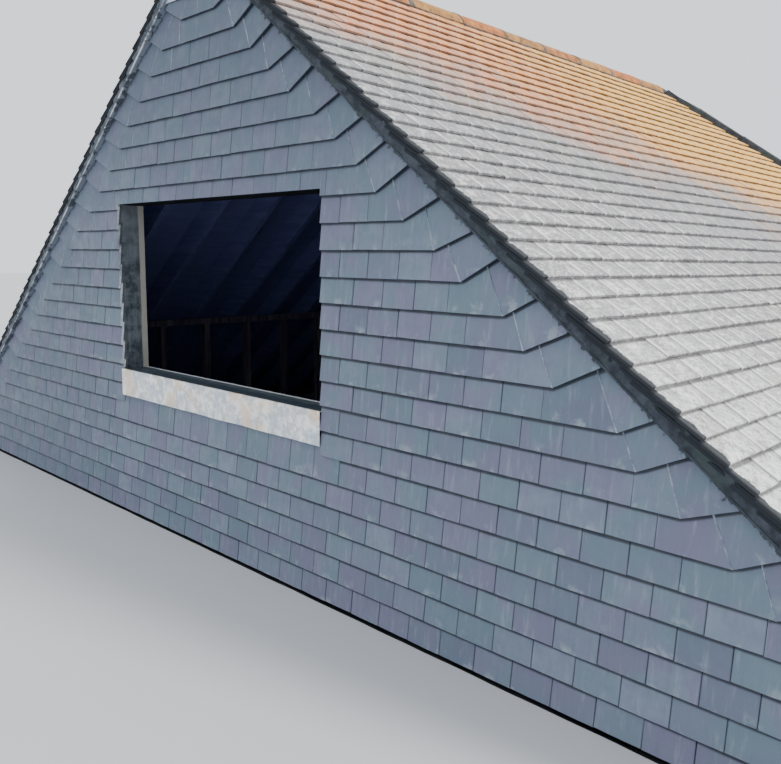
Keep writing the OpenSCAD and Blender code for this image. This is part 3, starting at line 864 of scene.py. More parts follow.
def addCutTile(batch, outline, turn, x, z, tone, lap, chipped=False):
    # A hung tile with its own outline, its leaning side cut by hand; lap is the place and the
    # splay of the next course's bend
    def atFront(edge):
        return all(v.co.z > -tiny for v in edge.verts)

    def leans(edge):
        step = edge.verts[0].co - edge.verts[1].co
        return min(abs(step.x), abs(step.y)) > 1e-4

    made = bmesh.new()
    face = made.faces.new([made.verts.new((u, v, 0.0)) for u, v in outline])
    if face.normal.z < 0.0:
        face.normal_flip()
    bmesh.ops.extrude_face_region(made, geom=[face])
    made.verts.ensure_lookup_table()
    back = made.verts[len(outline):]
    bmesh.ops.translate(made, verts=back, vec=(0.0, 0.0, -hungTiles["thick"]))
    bmesh.ops.recalc_face_normals(made, faces=made.faces)
    rim = [e for e in made.edges if atFront(e)]
    leaning = [e for e in rim if chipped and leans(e)]
    if leaning:
        least, most = vergeTiles["chipped"]
        bevelEdges(made, leaning, least + (most - least) * tone[2])
        rim = [e for e in made.edges if atFront(e)
               and all(f.normal.z < 0.1 or f.normal.z > 0.9 for f in e.link_faces)]
    bevelEdges(made, rim, vergeTiles["edge"])
    for axis in (0, 1):
        cellCuts(made, axis, vergeTiles["cell"])
    uv = made.loops.layers.uv.new("tileMap")
    toneLayer = made.verts.layers.float_vector.new("tone")
    for vert in made.verts:
        vert[toneLayer] = Vector(tone)
    lean = Matrix.Rotation(-turn, 4, "Y")
    place = Matrix.Translation((x, faceY + hungTiles["proud"], z))
    whole = place @ lean @ hungBasis.to_4x4()
    for face in made.faces:
        for loop in face.loops:
            spot = whole @ loop.vert.co
            # Height on the map is taken from the next course's tail, where the painted lap shadow
            # lies
            tail = z + hungTiles["gauge"] + max(spot.x - lap[0], 0.0) * math.tan(lap[1])
            lapped = (hungTiles["gauge"] - tail + spot.z) / hungTiles["length"]
            own = loop.vert.co.y / hungTiles["length"] * hungTiles["lapShare"]
            loop[uv].uv = (0.5, max(lapped, own))
        if abs(face.normal.z) < 0.9 and face.normal.y > -0.5:
            face.material_index = 1
    bmesh.ops.transform(made, matrix=whole, verts=made.verts)
    pourInto(batch, made)


def buildVergeTiles():
    band = building["bandDepth"]
    joint, length = vergeTiles["joint"], hungTiles["length"]
    for side, sign in bothSides:
        draw = random.Random(vergeTiles["seed"] + int(sign))
        bm = bmesh.new()
        bm.loops.layers.uv.new("tileMap")
        bm.verts.layers.float_vector.new("tone")
        jitter = vergeTiles["splayJitter"]
        splays = [math.radians(vergeTiles["splay"] + draw.uniform(-1.0, 1.0) * jitter)
                  for _ in range(vergeTiles["topCourse"] + 4)]
        for course in range(-1, vergeTiles["topCourse"] + 1):
            z = courseZ(course)
            bend, splay = bends[side, course], splays[course + 1]
            lap = (bends[side, course + 1], splays[course + 2])
            # The last tile is turned, and its end is cut to the verge
            reach = (runAt(band, z) - bend) * math.sin(pitch)
            tail = reach / math.sin(pitch + splay)
            head = tail - length / math.tan(pitch + splay)
            outline = [(joint, 0.0), (tail, 0.0), (head, length), (joint, length)]
            addCutTile(bm, outline, splay, bend, z, randomTone(draw), lap)
            # The tile beside it tapers
            width = bend - fieldEnd(side, course) - joint
            tone = randomTone(draw)
            if width > vergeTiles["leastWidth"]:
                rise = min(length, (width - joint) / math.tan(splay))
                top = max(0.0, width - joint - rise * math.tan(splay))
                outline = [(-width, 0.0), (0.0, 0.0), (top - width, rise), (-width, rise)]
                if top < 1e-4:
                    outline = outline[:3]
                addCutTile(bm, outline, 0.0, bend, z, tone, lap, chipped=True)
        cutTiles(bm, axisX * vergeTiles["middleGap"], -axisX)
        cutTiles(bm, axisZ * hungTiles["base"], -axisZ)
        cutTiles(bm, axisZ * planeZ(band, 0.0), Vector((math.sin(pitch), 0.0, math.cos(pitch))))
        roughen(bm, *vergeTiles["uneven"], 6.0 + sign)
        holdBehind(bm, faceY)
        mirrorSide(bm, sign)
        name = "vergeCutTiles_" + side
        finishPiece(name, meshFrom(bm, name), [hungFinish, cutFinish],
                    ["verge_cut_tiles_" + side])


buildVergeTiles()
print("verge tiles laid")

# Verge bedding and undercloak

def addBar(batch, start, along, across, up, size, cuts):
    # A bar from start: length along, width across, height up
    made = bmesh.new()
    bmesh.ops.create_cube(made, size=1.0)
    bmesh.ops.translate(made, verts=made.verts, vec=(0.5, 0.5, 0.5))
    long = [e for e in made.edges if abs(e.verts[0].co.x - e.verts[1].co.x) > 0.5]
    bmesh.ops.subdivide_edges(made, edges=long, cuts=cuts, use_grid_fill=True)
    basis = Matrix((along * size[0], across * size[1], up * size[2])).transposed().to_4x4()
    bmesh.ops.transform(made, matrix=Matrix.Translation(start) @ basis, verts=made.verts)
    bmesh.ops.recalc_face_normals(made, faces=made.faces)
    pourInto(batch, made)


undercloak = {
    "length": 0.6, "lengthJitter": (0.8, 1.2), "width": 0.096, "thick": 0.006, "joint": 0.003,
    "lip": (0.001, 0.005), "bedGap": 0.0003, "cuts": 6, "paleEdge": (0.006, 0.009),
    "floorGap": 0.004, "uneven": (0.0006, 18.0), "seed": 41,
}


def undercloakBoard():
    # Pale on the left verge, grown dark on the right one
    made, tree, _ = startMaterial("undercloakBoard", 0.9)
    place = objectPlace(tree)
    x, y, _ = splitVector(place)
    cloud = noiseOf(place, 12.0, 5.0, 0.65)
    grit = noiseOf(place, 120.0, 4.0, 0.7)
    gapShadowNoise = noiseOf(place, 15.0, 3.0, 0.7)
    edge = [vergeY + reach for reach in undercloak["paleEdge"]]
    pale = layOver(shade(150, 156, 158), shade(222, 224, 222), cloud, 0.35, 0.65)
    # Painted shade on the underside behind the pale front edge
    pale = layOver(pale, shade(122, 132, 148), y, *edge)
    # Painted shadow in the gaps between the board and the tiles
    pale = layOver(pale, shade(56, 62, 72), gapShadowNoise, 0.5, 0.56, 0.85)
    dark = layOver(shade(38, 44, 52), shade(64, 72, 80), cloud, 0.35, 0.65)
    tone = layOver(pale, dark, x, -0.01, 0.01)
    tone = layOver(tone, shade(70, 76, 70), grit, 0.45, 0.25, 0.4)
    return endMaterial(made, tone, plus(cloud, times(grit, 0.5)), 0.5, 0.003)


vergeBand = {
    "mortarTop": 0.022, "mortarFoot": 0.071, "depth": 0.055, "setBack": 0.0015,
    "leastSetBack": 0.0005, "mortarStart": 0.05, "eavesGap": 0.09, "mortarCuts": 190,
    "longest": 0.03, "frontDepth": 0.004, "lumpScales": (26.0, 70.0, 34.0),
    "lumpSizes": (0.0035, 0.0065, 0.0055), "middleGap": 0.0005,
}


def buildVergeMortar(side, sign, down, up, length):
    bm = bmesh.new()
    top, foot = vergeBand["mortarTop"], vergeBand["mortarFoot"]
    front = vergeY + vergeBand["setBack"]
    start = Vector((0.0, front, apexZ)) + down * vergeBand["mortarStart"] - up * foot
    size = (length - vergeBand["mortarStart"], vergeBand["depth"], foot - top)
    addBar(bm, start, down, axisY, up, size, vergeBand["mortarCuts"])
    long = [e for e in bm.edges if e.calc_length() > vergeBand["longest"]]
    bmesh.ops.subdivide_edges(bm, edges=long, cuts=2, use_grid_fill=True)
    broad, fine, rise = vergeBand["lumpScales"]
    back, depth, height = vergeBand["lumpSizes"]
    for vert in bm.verts:
        lump = noise.noise(vert.co * broad + Vector((sign, 0.0, 0.0)))
        lump += 0.6 * noise.noise(vert.co * fine)
        if vert.co.y < front + vergeBand["frontDepth"]:
            vert.co.y += back + depth * lump
            vert.co.z += height * noise.noise(vert.co * rise)
    holdBehind(bm, vergeY + vergeBand["leastSetBack"])
    cutTiles(bm, axisX * vergeBand["middleGap"], -axisX)
    mirrorSide(bm, sign)
    name = "vergeMortar_" + side
    finishPiece(name, meshFrom(bm, name, 60.0), [vergeMortar if sign > 0.0 else paleMortar],
                ["verge_bedding_" + side])


def addUndercloak(batch, sign, down, up, length):
    # Thin strips, butted along the verge
    draw = random.Random(undercloak["seed"] + int(sign))
    part = bmesh.new()
    place = 0.0
    while place < length:
        span = min(undercloak["length"] * draw.uniform(*undercloak["lengthJitter"]),
                   length - place)
        lip = draw.uniform(*undercloak["lip"])
        start = Vector((0.0, vergeY + lip, apexZ)) + down * place
        start -= up * (building["bandDepth"] - undercloak["bedGap"])
        size = (span - undercloak["joint"], undercloak["width"] - lip, undercloak["thick"])
        addBar(part, start, down, axisY, up, size, undercloak["cuts"])
        place += span
    roughen(part, *undercloak["uneven"], 4.0)
    cutTiles(part, axisX * vergeBand["middleGap"], -axisX)
    cutTiles(part, axisZ * undercloak["floorGap"], -axisZ)
    mirrorSide(part, sign)
    pourInto(batch, part)


def buildVergeBand():
    down = Vector((math.cos(pitch), 0.0, -math.sin(pitch)))
    up = Vector((math.sin(pitch), 0.0, math.cos(pitch)))
    length = eavesRun - vergeBand["eavesGap"]
    strips = bmesh.new()
    for side, sign in bothSides:
        buildVergeMortar(side, sign, down, up, length)
        addUndercloak(strips, sign, down, up, length)
    finishPiece("undercloakStrips", meshFrom(strips, "undercloakStrips"), [undercloakBoard()],
                ["undercloaks"])


buildVergeBand()
print("verge band ready")

# Ridge and hip tiles with their mortar

capFinish = {
    "edge": 0.0025, "longest": 0.2, "collarLift": 0.0008, "collarThick": 0.02, "footCuts": 150,
    "clayUneven": (0.0008, 16.0), "mortarUneven": (0.0012, 40.0), "mitre": 22.5,
}


def capDrop(values, fallBeside):
    half = values["width"] / 2
    return half * fallBeside + math.sqrt(values["radius"] ** 2 - half * half)


def addCap(batch, values, start, along, up, length, tone, radius, thick):
    # A round cap spun about its middle line, which starts at start
    half = math.asin(values["width"] / 2 / values["radius"])
    made = bmesh.new()
    toneLayer = made.verts.layers.float_vector.new("tone")
    corners = [(radius, 0.0), (radius, length), (radius - thick, length), (radius - thick, 0.0)]
    face = made.faces.new([made.verts.new((0.0, y, r)) for r, y in corners])
    bmesh.ops.rotate(made, verts=made.verts, cent=(0.0, 0.0, 0.0),
                     matrix=Matrix.Rotation(-half, 3, "Y"))
    bmesh.ops.spin(made, geom=[face], cent=(0.0, 0.0, 0.0), axis=axisY, angle=2 * half,
                   steps=values["steps"], use_duplicate=False)
    bmesh.ops.remove_doubles(made, verts=made.verts, dist=1e-5)
    bmesh.ops.recalc_face_normals(made, faces=made.faces)
    rim = [e for e in made.edges
           if all(v.co.y < 1e-5 for v in e.verts) or all(v.co.y > length - 1e-5 for v in e.verts)]
    bevelEdges(made, rim, min(capFinish["edge"], thick / 4))
    long = [e for e in made.edges if e.calc_length() > capFinish["longest"]]
    bmesh.ops.subdivide_edges(made, edges=long, cuts=3, use_grid_fill=True)
    for vert in made.verts:
        vert[toneLayer] = Vector(tone)
    basis = Matrix((along.cross(up), along, up)).transposed().to_4x4()
    bmesh.ops.transform(made, matrix=Matrix.Translation(start) @ basis, verts=made.verts)
    pourInto(batch, made)


def addTile(draw, batch, values, start, along, up, length):
    addCap(batch, values, start, along, up, length, randomTone(draw), values["radius"],
           values["thick"])


def addCollar(draw, batch, values, middle, along, up):
    # Mortar smeared round the joint of two caps
    width = draw.uniform(*values["collarWidth"])
    addCap(batch, values, middle - along * width / 2, along, up, width, (0.5, 0.5, 0.5),
           values["radius"] + capFinish["collarLift"], capFinish["collarThick"])


def freshCapBatch():
    bm = bmesh.new()
    bm.verts.layers.float_vector.new("tone")
    return bm


def jittered(draw, along, up, values):
    turn = Matrix.Rotation(draw.gauss(0.0, values["turnJitter"]), 3, along.cross(up))
    turn = turn @ Matrix.Rotation(draw.gauss(0.0, values["turnJitter"]), 3, up)
    return turn @ along, turn @ up


def mitreNormal(acrossSign, alongSign):
    # Normal of the upright plane where two caps meet
    turn = math.radians(capFinish["mitre"])
    return Vector((acrossSign * math.sin(turn), alongSign * math.cos(turn), 0.0))


def roughenCaps(caps, mortar, values):
    roughen(caps, *capFinish["clayUneven"], values["roughSeed"])
    roughen(mortar, *capFinish["mortarUneven"], values["roughSeed"])


ridgeFoot = {
    "inset": 0.03, "setBack": 0.002, "lift": 0.0185, "endGap": 0.05, "width": 0.036,
    "height": 0.012, "lumpDown": 0.006, "lumpUp": 0.002, "sink": 0.003,
}


def addRidgeFeet(mortar, peak, topFall, slopeUp, slopeDown):
    # Bedding along both feet of the ridge tiles
    half = ridgeCaps["width"] / 2
    start = Vector((half - ridgeFoot["inset"], vergeY + ridgeFoot["setBack"],
                    peak - half * topFall + ridgeFoot["lift"]))
    size = (ridgeEndY - vergeY - ridgeFoot["endGap"], ridgeFoot["width"], ridgeFoot["height"])
    for sign in (1.0, -1.0):
        feet = bmesh.new()
        addBar(feet, start, axisY, slopeDown, slopeUp, size, capFinish["footCuts"])
        for vert in feet.verts:
            lump = lumpAt(vert.co)
            rise = ridgeFoot["lumpUp"] * lump - ridgeFoot["sink"]
            vert.co += slopeDown * (ridgeFoot["lumpDown"] * lump) + slopeUp * rise
        mirrorSide(feet, sign)
        pourInto(mortar, feet)


ridgePlug = {
    "clearance": 0.0145, "segments": 40, "depth": 0.05, "setBack": 0.006, "uneven": (0.003, 40.0),
}


def buildRidgePlug(middle, peak, slopeUp):
    # Mortar that closes the front of the ridge
    plug = bmesh.new()
    bmesh.ops.create_circle(plug, cap_ends=True, segments=ridgePlug["segments"],
                            radius=ridgeCaps["radius"] - ridgePlug["clearance"])
    bmesh.ops.rotate(plug, verts=plug.verts, cent=(0.0, 0.0, 0.0),
                     matrix=Matrix.Rotation(math.radians(90.0), 3, "X"))
    bmesh.ops.extrude_face_region(plug, geom=plug.faces[:])
    plug.verts.ensure_lookup_table()
    bmesh.ops.translate(plug, verts=plug.verts[ridgePlug["segments"]:],
                        vec=(0.0, ridgePlug["depth"], 0.0))
    bmesh.ops.recalc_face_normals(plug, faces=plug.faces)
    bmesh.ops.translate(plug, verts=plug.verts, vec=(0.0, vergeY + ridgePlug["setBack"], middle))
    # One half is trimmed to the slope below it, and the other half is its mirror
    cutTiles(plug, axisZ * peak, -slopeUp)
    bmesh.ops.bisect_plane(plug, geom=everything(plug), plane_co=(0.0, 0.0, 0.0),
                           plane_no=-axisX, clear_outer=True)
    bmesh.ops.mirror(plug, geom=everything(plug), merge_dist=1e-5, axis="X")
    bmesh.ops.remove_doubles(plug, verts=plug.verts, dist=1e-5)
    bmesh.ops.recalc_face_normals(plug, faces=plug.faces)
    bmesh.ops.triangulate(plug, faces=plug.faces)
    bmesh.ops.subdivide_edges(plug, edges=plug.edges, cuts=2, use_grid_fill=True)
    roughen(plug, *ridgePlug["uneven"], 1.0)
    finishPiece("ridgeEndMortar", meshFrom(plug, "ridgeEndMortar", 60.0), [vergeMortar],
                ["ridge_end_bedding"])


ridgeCaps = {
    "radius": 0.135, "width": 0.26, "thick": 0.014, "count": 10, "gap": 0.009, "steps": 18,
    "turnJitter": 0.008, "liftJitter": 0.002, "shiftJitter": 0.002, "seed": 61,
    "topTail": 0.2625, "overrun": 0.14, "collarWidth": (0.022, 0.05), "roughSeed": 1.0,
}


def buildRidge():
    draw = random.Random(ridgeCaps["seed"])
    topFall = math.tan(pitch - roofTilt)
    tail = ridgeCaps["topTail"]
    peak = apexZ - tail * math.sin(pitch) + tail * math.cos(pitch) * topFall
    middle = peak - capDrop(ridgeCaps, topFall)
    step = (ridgeEndY - vergeY) / ridgeCaps["count"]
    shift = ridgeCaps["shiftJitter"]
    caps, mortar = freshCapBatch(), freshCapBatch()
    for i in range(ridgeCaps["count"]):
        last = i == ridgeCaps["count"] - 1
        along, up = jittered(draw, axisY, axisZ, ridgeCaps)
        start = Vector((draw.uniform(-shift, shift), vergeY + i * step,
                        middle - draw.uniform(0.0, ridgeCaps["liftJitter"])))
        length = step - ridgeCaps["gap"] + (ridgeCaps["overrun"] if last else 0.0)
        addTile(draw, caps, ridgeCaps, start, along, up, length)
        if not last:
            joint = Vector((0.0, vergeY + (i + 1) * step - ridgeCaps["gap"] / 2, middle))
            addCollar(draw, mortar, ridgeCaps, joint, axisY, axisZ)
    slopeUp = Vector((math.sin(pitch - roofTilt), 0.0, math.cos(pitch - roofTilt)))
    slopeDown = Vector((math.cos(pitch - roofTilt), 0.0, -math.sin(pitch - roofTilt)))
    addRidgeFeet(mortar, peak, topFall, slopeUp, slopeDown)
    for bm in (caps, mortar):
        for sign in (1.0, -1.0):
            cutTiles(bm, axisY * ridgeEndY, mitreNormal(sign, 1.0))
    roughenCaps(caps, mortar, ridgeCaps)
    finishPiece("ridgeCaps", meshFrom(caps, "ridgeCaps"), [ridgeFinish],
                ["ridge_tiles"])
    finishPiece("ridgeMortar", meshFrom(mortar, "ridgeMortar"), [capMortar], [])
    buildRidgePlug(middle, peak, slopeUp)


hipFoot = {
    "inset": 0.014, "start": 0.12, "sink": 0.036, "shorter": 0.2, "width": 0.02, "height": 0.042,
    "lumpOut": 0.005, "lumpUp": 0.003,
}


def addHipFeet(mortar, apex, down, outward, run):
    # Bedding along the foot towards the side slope, and its twin towards the rear slope
    side = down.cross(outward)
    half = hipCaps["width"] / 2
    foot = apex + outward * math.sqrt(hipCaps["radius"] ** 2 - half * half)
    foot += down * hipFoot["start"] - outward * hipFoot["sink"]
    size = (run - hipFoot["shorter"], hipFoot["width"], hipFoot["height"])
    for sign in (1.0, -1.0):
        feet = bmesh.new()
        addBar(feet, foot + side * (sign * (half - hipFoot["inset"])), down, side * sign,
               outward, size, capFinish["footCuts"])
        for vert in feet.verts:
            lump = lumpAt(vert.co)
            vert.co += side * (sign * hipFoot["lumpOut"] * lump)
            vert.co += outward * (hipFoot["lumpUp"] * lump)
        pourInto(mortar, feet)


hipCaps = {
    "radius": 0.145, "width": 0.22, "thick": 0.014, "count": 13, "gap": 0.009, "steps": 14,
    "turnJitter": 0.008, "seed": 67, "raised": 0.024, "overrun": 0.15,
    "firstSink": 0.006, "collarWidth": (0.02, 0.04), "middleGap": 0.001, "floorGap": 0.004,
    "roughSeed": 5.0,
}


def buildHips():
    draw = random.Random(hipCaps["seed"])
    hipPitch = math.atan(fall / math.sqrt(2.0))
    spreadBeside = math.sqrt(2.0 + fall * fall)
    hipFall = spreadBeside * math.sin(pitch) / (fall * math.sin(pitch) + 2.0 * math.cos(pitch))
    run = building["halfWidth"] * math.sqrt(2.0) / math.cos(hipPitch)
    step = run / hipCaps["count"]
    root = math.sqrt(0.5)
    down = Vector((root * math.cos(hipPitch), root * math.cos(hipPitch), -math.sin(hipPitch)))
    outward = Vector((root * math.sin(hipPitch), root * math.sin(hipPitch), math.cos(hipPitch)))
    apex = Vector((0.0, ridgeEndY, apexZ))
    apex -= outward * (capDrop(hipCaps, hipFall) - hipCaps["raised"])
    caps, mortar = freshCapBatch(), freshCapBatch()
    for i in range(hipCaps["count"]):
        last = i == hipCaps["count"] - 1
        along, up = jittered(draw, down, outward, hipCaps)
        length = step - hipCaps["gap"] + (hipCaps["overrun"] if last else 0.0)
        start = apex + down * (i * step)
        if i == 0:
            # The first hip tile rises from under the end of the ridge
            start -= outward * (hipCaps["raised"] + hipCaps["firstSink"])
            along = (apex + down * length - start).normalized()
            up = outward
        addTile(draw, caps, hipCaps, start, along, up, length)
        if not last:
            joint = apex + down * ((i + 1) * step - hipCaps["gap"] / 2)
            addCollar(draw, mortar, hipCaps, joint, down, outward)
    addHipFeet(mortar, apex, down, outward, run)
    for bm in (caps, mortar):
        for place, normal in ((axisY * ridgeEndY, mitreNormal(-1.0, -1.0)),
                              (axisX * hipCaps["middleGap"], -axisX),
                              (axisX * building["halfWidth"], axisX),
                              (axisY * cadHigh[1], axisY),
                              (axisZ * hipCaps["floorGap"], -axisZ)):
            cutTiles(bm, place, normal)
    roughenCaps(caps, mortar, hipCaps)
    for name, bm, finish, slot, replaced in (
            ("hipCaps", caps, hipFinish, "hip_clay", ["hip_tiles"]),
            ("hipMortar", mortar, vergeMortar, "verge_mortar", [])):
        twin = bm.copy()
        mirrorSide(twin, -1.0)
        pourInto(bm, twin)
        finishPiece(name, meshFrom(bm, name), [finish], replaced)


buildRidge()
buildHips()
print("ridge and hips ready")

# Lead sheets over the sill and at the apex

leadTone = {
    "pale": shade(254, 254, 252), "middle": shade(200, 205, 209), "cold": shade(188, 206, 224),
    "warm": shade(240, 212, 178), "stain": shade(138, 142, 146), "fold": shade(58, 70, 78),
}
apronSheet = {
    "bottom": 0.715, "top": 0.868, "foldDepth": 0.0908, "thick": 0.0022, "stepsX": 90,
    "stepsZ": 10, "foldSteps": 4, "wave": 0.0016, "edgeWave": 0.0025, "sideGap": 0.0006,
    "faceGap": 0.0003, "foldDrop": 0.0004, "darkFold": (0.006, 0.016),
}


def leadSheet(name, stains):
    made, tree, shader = startMaterial(name, 0.48, 0.15)
    place = objectPlace(tree)
    broad = noiseOf(place, 8.0, 4.0, 0.65)
    cloud = noiseOf(place, 17.0, 6.0, 0.72)
    fine = noiseOf(place, 130.0, 4.0, 0.7)
    runs = noiseOf(stretched(place, (36.0, 36.0, 6.0)), 1.0, 4.0, 0.6)
    fold = [faceY + reach for reach in apronSheet["darkFold"]]
    tone = layOver(leadTone["middle"], leadTone["pale"], cloud, 0.42, 0.57)
    tone = layOver(tone, leadTone["warm"], broad, 0.5, 0.62, 0.7)
    tone = layOver(tone, leadTone["cold"], broad, 0.46, 0.34, 0.7)
    tone = layOver(tone, leadTone["stain"], runs, 0.6, 0.75, stains)
    tone = layOver(tone, leadTone["stain"], fine, 0.36, 0.22, 0.5)
    tone = layOver(tone, leadTone["fold"], splitVector(place)[1], *fold)
    tree.links.new(ramp(cloud, 0.3, 0.7, 0.36, 0.62), shader.inputs["Roughness"])
    return endMaterial(made, tone, plus(cloud, times(fine, 0.3)), 0.35, 0.004)


def sheetMesh(bm, name, thick):
    # Turns the sheet's face to the front and gives the sheet its thickness inwards
    bmesh.ops.recalc_face_normals(bm, faces=bm.faces)
    mesh = meshFrom(bm, name, 50.0)
    if mesh.polygons[0].normal.y > 0.0:
        mesh.flip_normals()
    solid = bmesh.new()
    solid.from_mesh(mesh)
    shifts = [-vert.normal * thick for vert in solid.verts]
    bmesh.ops.extrude_face_region(solid, geom=solid.faces[:])
    solid.verts.ensure_lookup_table()
    for i, shift in enumerate(shifts):
        solid.verts[i].co += shift
    bmesh.ops.recalc_face_normals(solid, faces=solid.faces)
    solid.to_mesh(mesh)
    solid.free()
    smoothMesh(mesh, 50.0)
    return mesh


def buildApron():
    bm = bmesh.new()
    steps = apronSheet["stepsZ"] + apronSheet["foldSteps"]
    bmesh.ops.create_grid(bm, x_segments=apronSheet["stepsX"], y_segments=steps, size=0.5)
    skirt = apronSheet["top"] - apronSheet["bottom"]
    share = apronSheet["stepsZ"] / steps
    front = faceY - apronSheet["faceGap"]
    for vert in bm.verts:
        x = vert.co.x * 2.0 * (openingX - apronSheet["sideGap"])
        v = vert.co.y + 0.5
        wave = noise.noise(Vector((x * 7.0, v * 3.0, 1.0)))
        wave += 0.5 * noise.noise(Vector((x * 21.0, v * 7.0, 4.0)))
        wave = abs(wave) * apronSheet["wave"]
        if v <= share + tiny:
            height = apronSheet["bottom"] + skirt * v / share
            if v < tiny:
                height += apronSheet["edgeWave"] * noise.noise(Vector((x * 5.0, 0.0, 9.0)))
            vert.co = Vector((x, front - wave, height))
        else:
            back = (v - share) / (1.0 - share)
            vert.co = Vector((x, front + back * apronSheet["foldDepth"],
                              apronSheet["top"] - apronSheet["foldDrop"] - wave))
    finishPiece("leadApron", sheetMesh(bm, "leadApron", apronSheet["thick"]),
                [leadSheet("apronLead", 0.4)], ["lead_apron"])


apexSheet = {
    "height": 0.222, "thick": 0.0022, "wave": 0.001, "stepsX": 30, "stepsZ": 14, "gap": 0.0006,
}


def buildApexLead():
    top = planeZ(building["bandDepth"], 0.0)
    foot = top - apexSheet["height"]
    half = runAt(building["bandDepth"], foot)
    bm = bmesh.new()
    bmesh.ops.create_grid(bm, x_segments=apexSheet["stepsX"], y_segments=apexSheet["stepsZ"],
                          size=0.5)
    for vert in bm.verts:
        x, v = vert.co.x * 2.0 * half, vert.co.y + 0.5
        wave = abs(noise.noise(Vector((x * 9.0, v * 2.0, 3.0)))) * apexSheet["wave"]
        vert.co = Vector((x, faceY - apexSheet["gap"] - wave, foot + v * apexSheet["height"]))
    for sign in (1.0, -1.0):
        bmesh.ops.bisect_plane(bm, geom=everything(bm), dist=tiny, clear_outer=True,
                               plane_co=(0.0, 0.0, top - apexSheet["gap"]),
                               plane_no=(sign * math.sin(pitch), 0.0, math.cos(pitch)))
    finishPiece("apexLead", sheetMesh(bm, "apexLead", apexSheet["thick"]),
                [leadSheet("apexLeadFinish", 0.24)], ["apex_flashing"])


buildApron()
buildApexLead()
print("lead ready")

# Linings, a black sheet of painted shade at the foot, and finishes of the solids that stay as they
# are

def sawnTimber(name, deep, pale, along):
    # Grain runs along one axis of the building
    made, tree, _ = startMaterial(name, 0.85)
    place = objectPlace(tree)
    scale = [34.0, 34.0, 34.0]
    scale[along] = 1.6
    grain = noiseOf(stretched(place, scale), 1.0, 6.0, 0.62, 0.6)
    cloud = noiseOf(place, 3.0, 4.0)
    saw = noiseOf(stretched(place, [s * 4.0 for s in scale]), 1.0, 3.0)
    tone = layOver(deep, pale, grain, 0.34, 0.66)
    tone = layOver(tone, deep, cloud, 0.55, 0.75, 0.4)
    tone = layOver(tone, deep, saw, 0.4, 0.25, 0.35)
    return endMaterial(made, tone, plus(grain, saw), 0.4, 0.002)


def flakeBoard(name, deep, pale):
    made, tree, _ = startMaterial(name, 0.85)
    place = objectPlace(tree)
    flakes = addNode(tree, "ShaderNodeTexVoronoi", {
        "Vector": stretched(place, (28.0, 28.0, 60.0), (0.3, 0.5, 0.2)), "Scale": 1.0})
    grain = noiseOf(place, 40.0, 4.0)
    tone = mixTone(flakes.outputs["Color"], deep, pale)
    tone = layOver(tone, deep, grain, 0.45, 0.7, 0.6)
    return endMaterial(made, tone, flakes.outputs["Distance"], 0.3, 0.001)


def paintedBoard(name, deep, pale):
    made, tree, shader = startMaterial(name, 0.42)
    place = objectPlace(tree)
    cloud = noiseOf(place, 9.0, 5.0, 0.6)
    fine = noiseOf(place, 120.0, 3.0)
    tone = layOver(deep, pale, cloud, 0.35, 0.7)
    tree.links.new(ramp(cloud, 0.3, 0.7, 0.32, 0.6), shader.inputs["Roughness"])
    return endMaterial(made, tone, fine, 0.2, 0.001)


liningPlace = {
    "front": 0.027, "back": 0.1718, "thick": 0.012, "strip": 0.034, "stripBlur": 0.004,
    "steps": 24, "uneven": (0.0012, 9.0), "sillStrip": (0.022, 0.016),
}


def liningBoard(name, deep, pale, strip, lift=0.6):
    # Paler high up, with a strip of another tone along its inner edge
    made, tree, shader = startMaterial(name, 0.85)
    shader.inputs["Specular IOR Level"].default_value = 0.1
    place = objectPlace(tree)
    _, y, z = splitVector(place)
    cloud = noiseOf(place, 13.0, 6.0, 0.7)
    grain = noiseOf(stretched(place, (60.0, 60.0, 3.0)), 1.0, 5.0, 0.6)
    high = plus(z, times(cloud, 0.6))
    tone = layOver(deep, pale, cloud, 0.36, 0.62)
    tone = layOver(tone, shade(118, 126, 132), high, 1.5, 2.1, lift)
    tone = layOver(tone, shade(132, 136, 136), grain, 0.52, 0.7, 0.5 * lift)
    tone = layOver(tone, shade(50, 57, 64), grain, 0.45, 0.3, 0.5)
    edge = faceY + liningPlace["back"] - liningPlace["strip"]
    inner = plus(y, times(minus(grain, 0.5), 0.02))
    tone = layOver(tone, strip, inner, edge - liningPlace["stripBlur"],
                   edge + liningPlace["stripBlur"], 0.85)
    return endMaterial(made, tone, plus(cloud, grain), 0.4, 0.002)


def sillTimber():
    made, tree, _ = startMaterial("sillTimber", 0.7)
    place = objectPlace(tree)
    cloud = noiseOf(stretched(place, (8.0, 60.0, 60.0)), 1.0, 5.0, 0.65)
    ends = [faceY + liningPlace["back"] - reach for reach in liningPlace["sillStrip"]]
    tone = layOver(shade(44, 56, 64), shade(86, 98, 104), cloud, 0.3, 0.7)
    tone = layOver(tone, shade(216, 220, 220), splitVector(place)[1], *ends)
    return endMaterial(made, tone, cloud, 0.3, 0.002)


def buildLinings():
    low, high = building["sillZ"], building["headZ"]
    size = (high - low, liningPlace["back"] - liningPlace["front"], liningPlace["thick"])
    start = Vector((openingX, faceY + liningPlace["front"], low))
    finish = liningBoard("jambBoard", shade(58, 66, 73), shade(106, 114, 121),
                         shade(182, 178, 168))
    for side, sign in bothSides:
        bm = bmesh.new()
        addBar(bm, start, axisZ, axisY, axisX, size, liningPlace["steps"])
        roughen(bm, *liningPlace["uneven"], sign)
        for vert in bm.verts:
            vert.co.x = max(vert.co.x, openingX)
        mirrorSide(bm, sign)
        name = "jambBoard_" + side
        finishPiece(name, meshFrom(bm, name), [finish], ["jamb_lining_" + side])


footFelt = {
    "lip": 0.003, "inset": 0.03, "gap": 0.0003, "thick": 0.003, "cuts": 120, "edgeDepth": 0.001,
    "edgeWave": 0.004, "topWave": 0.0006,
}


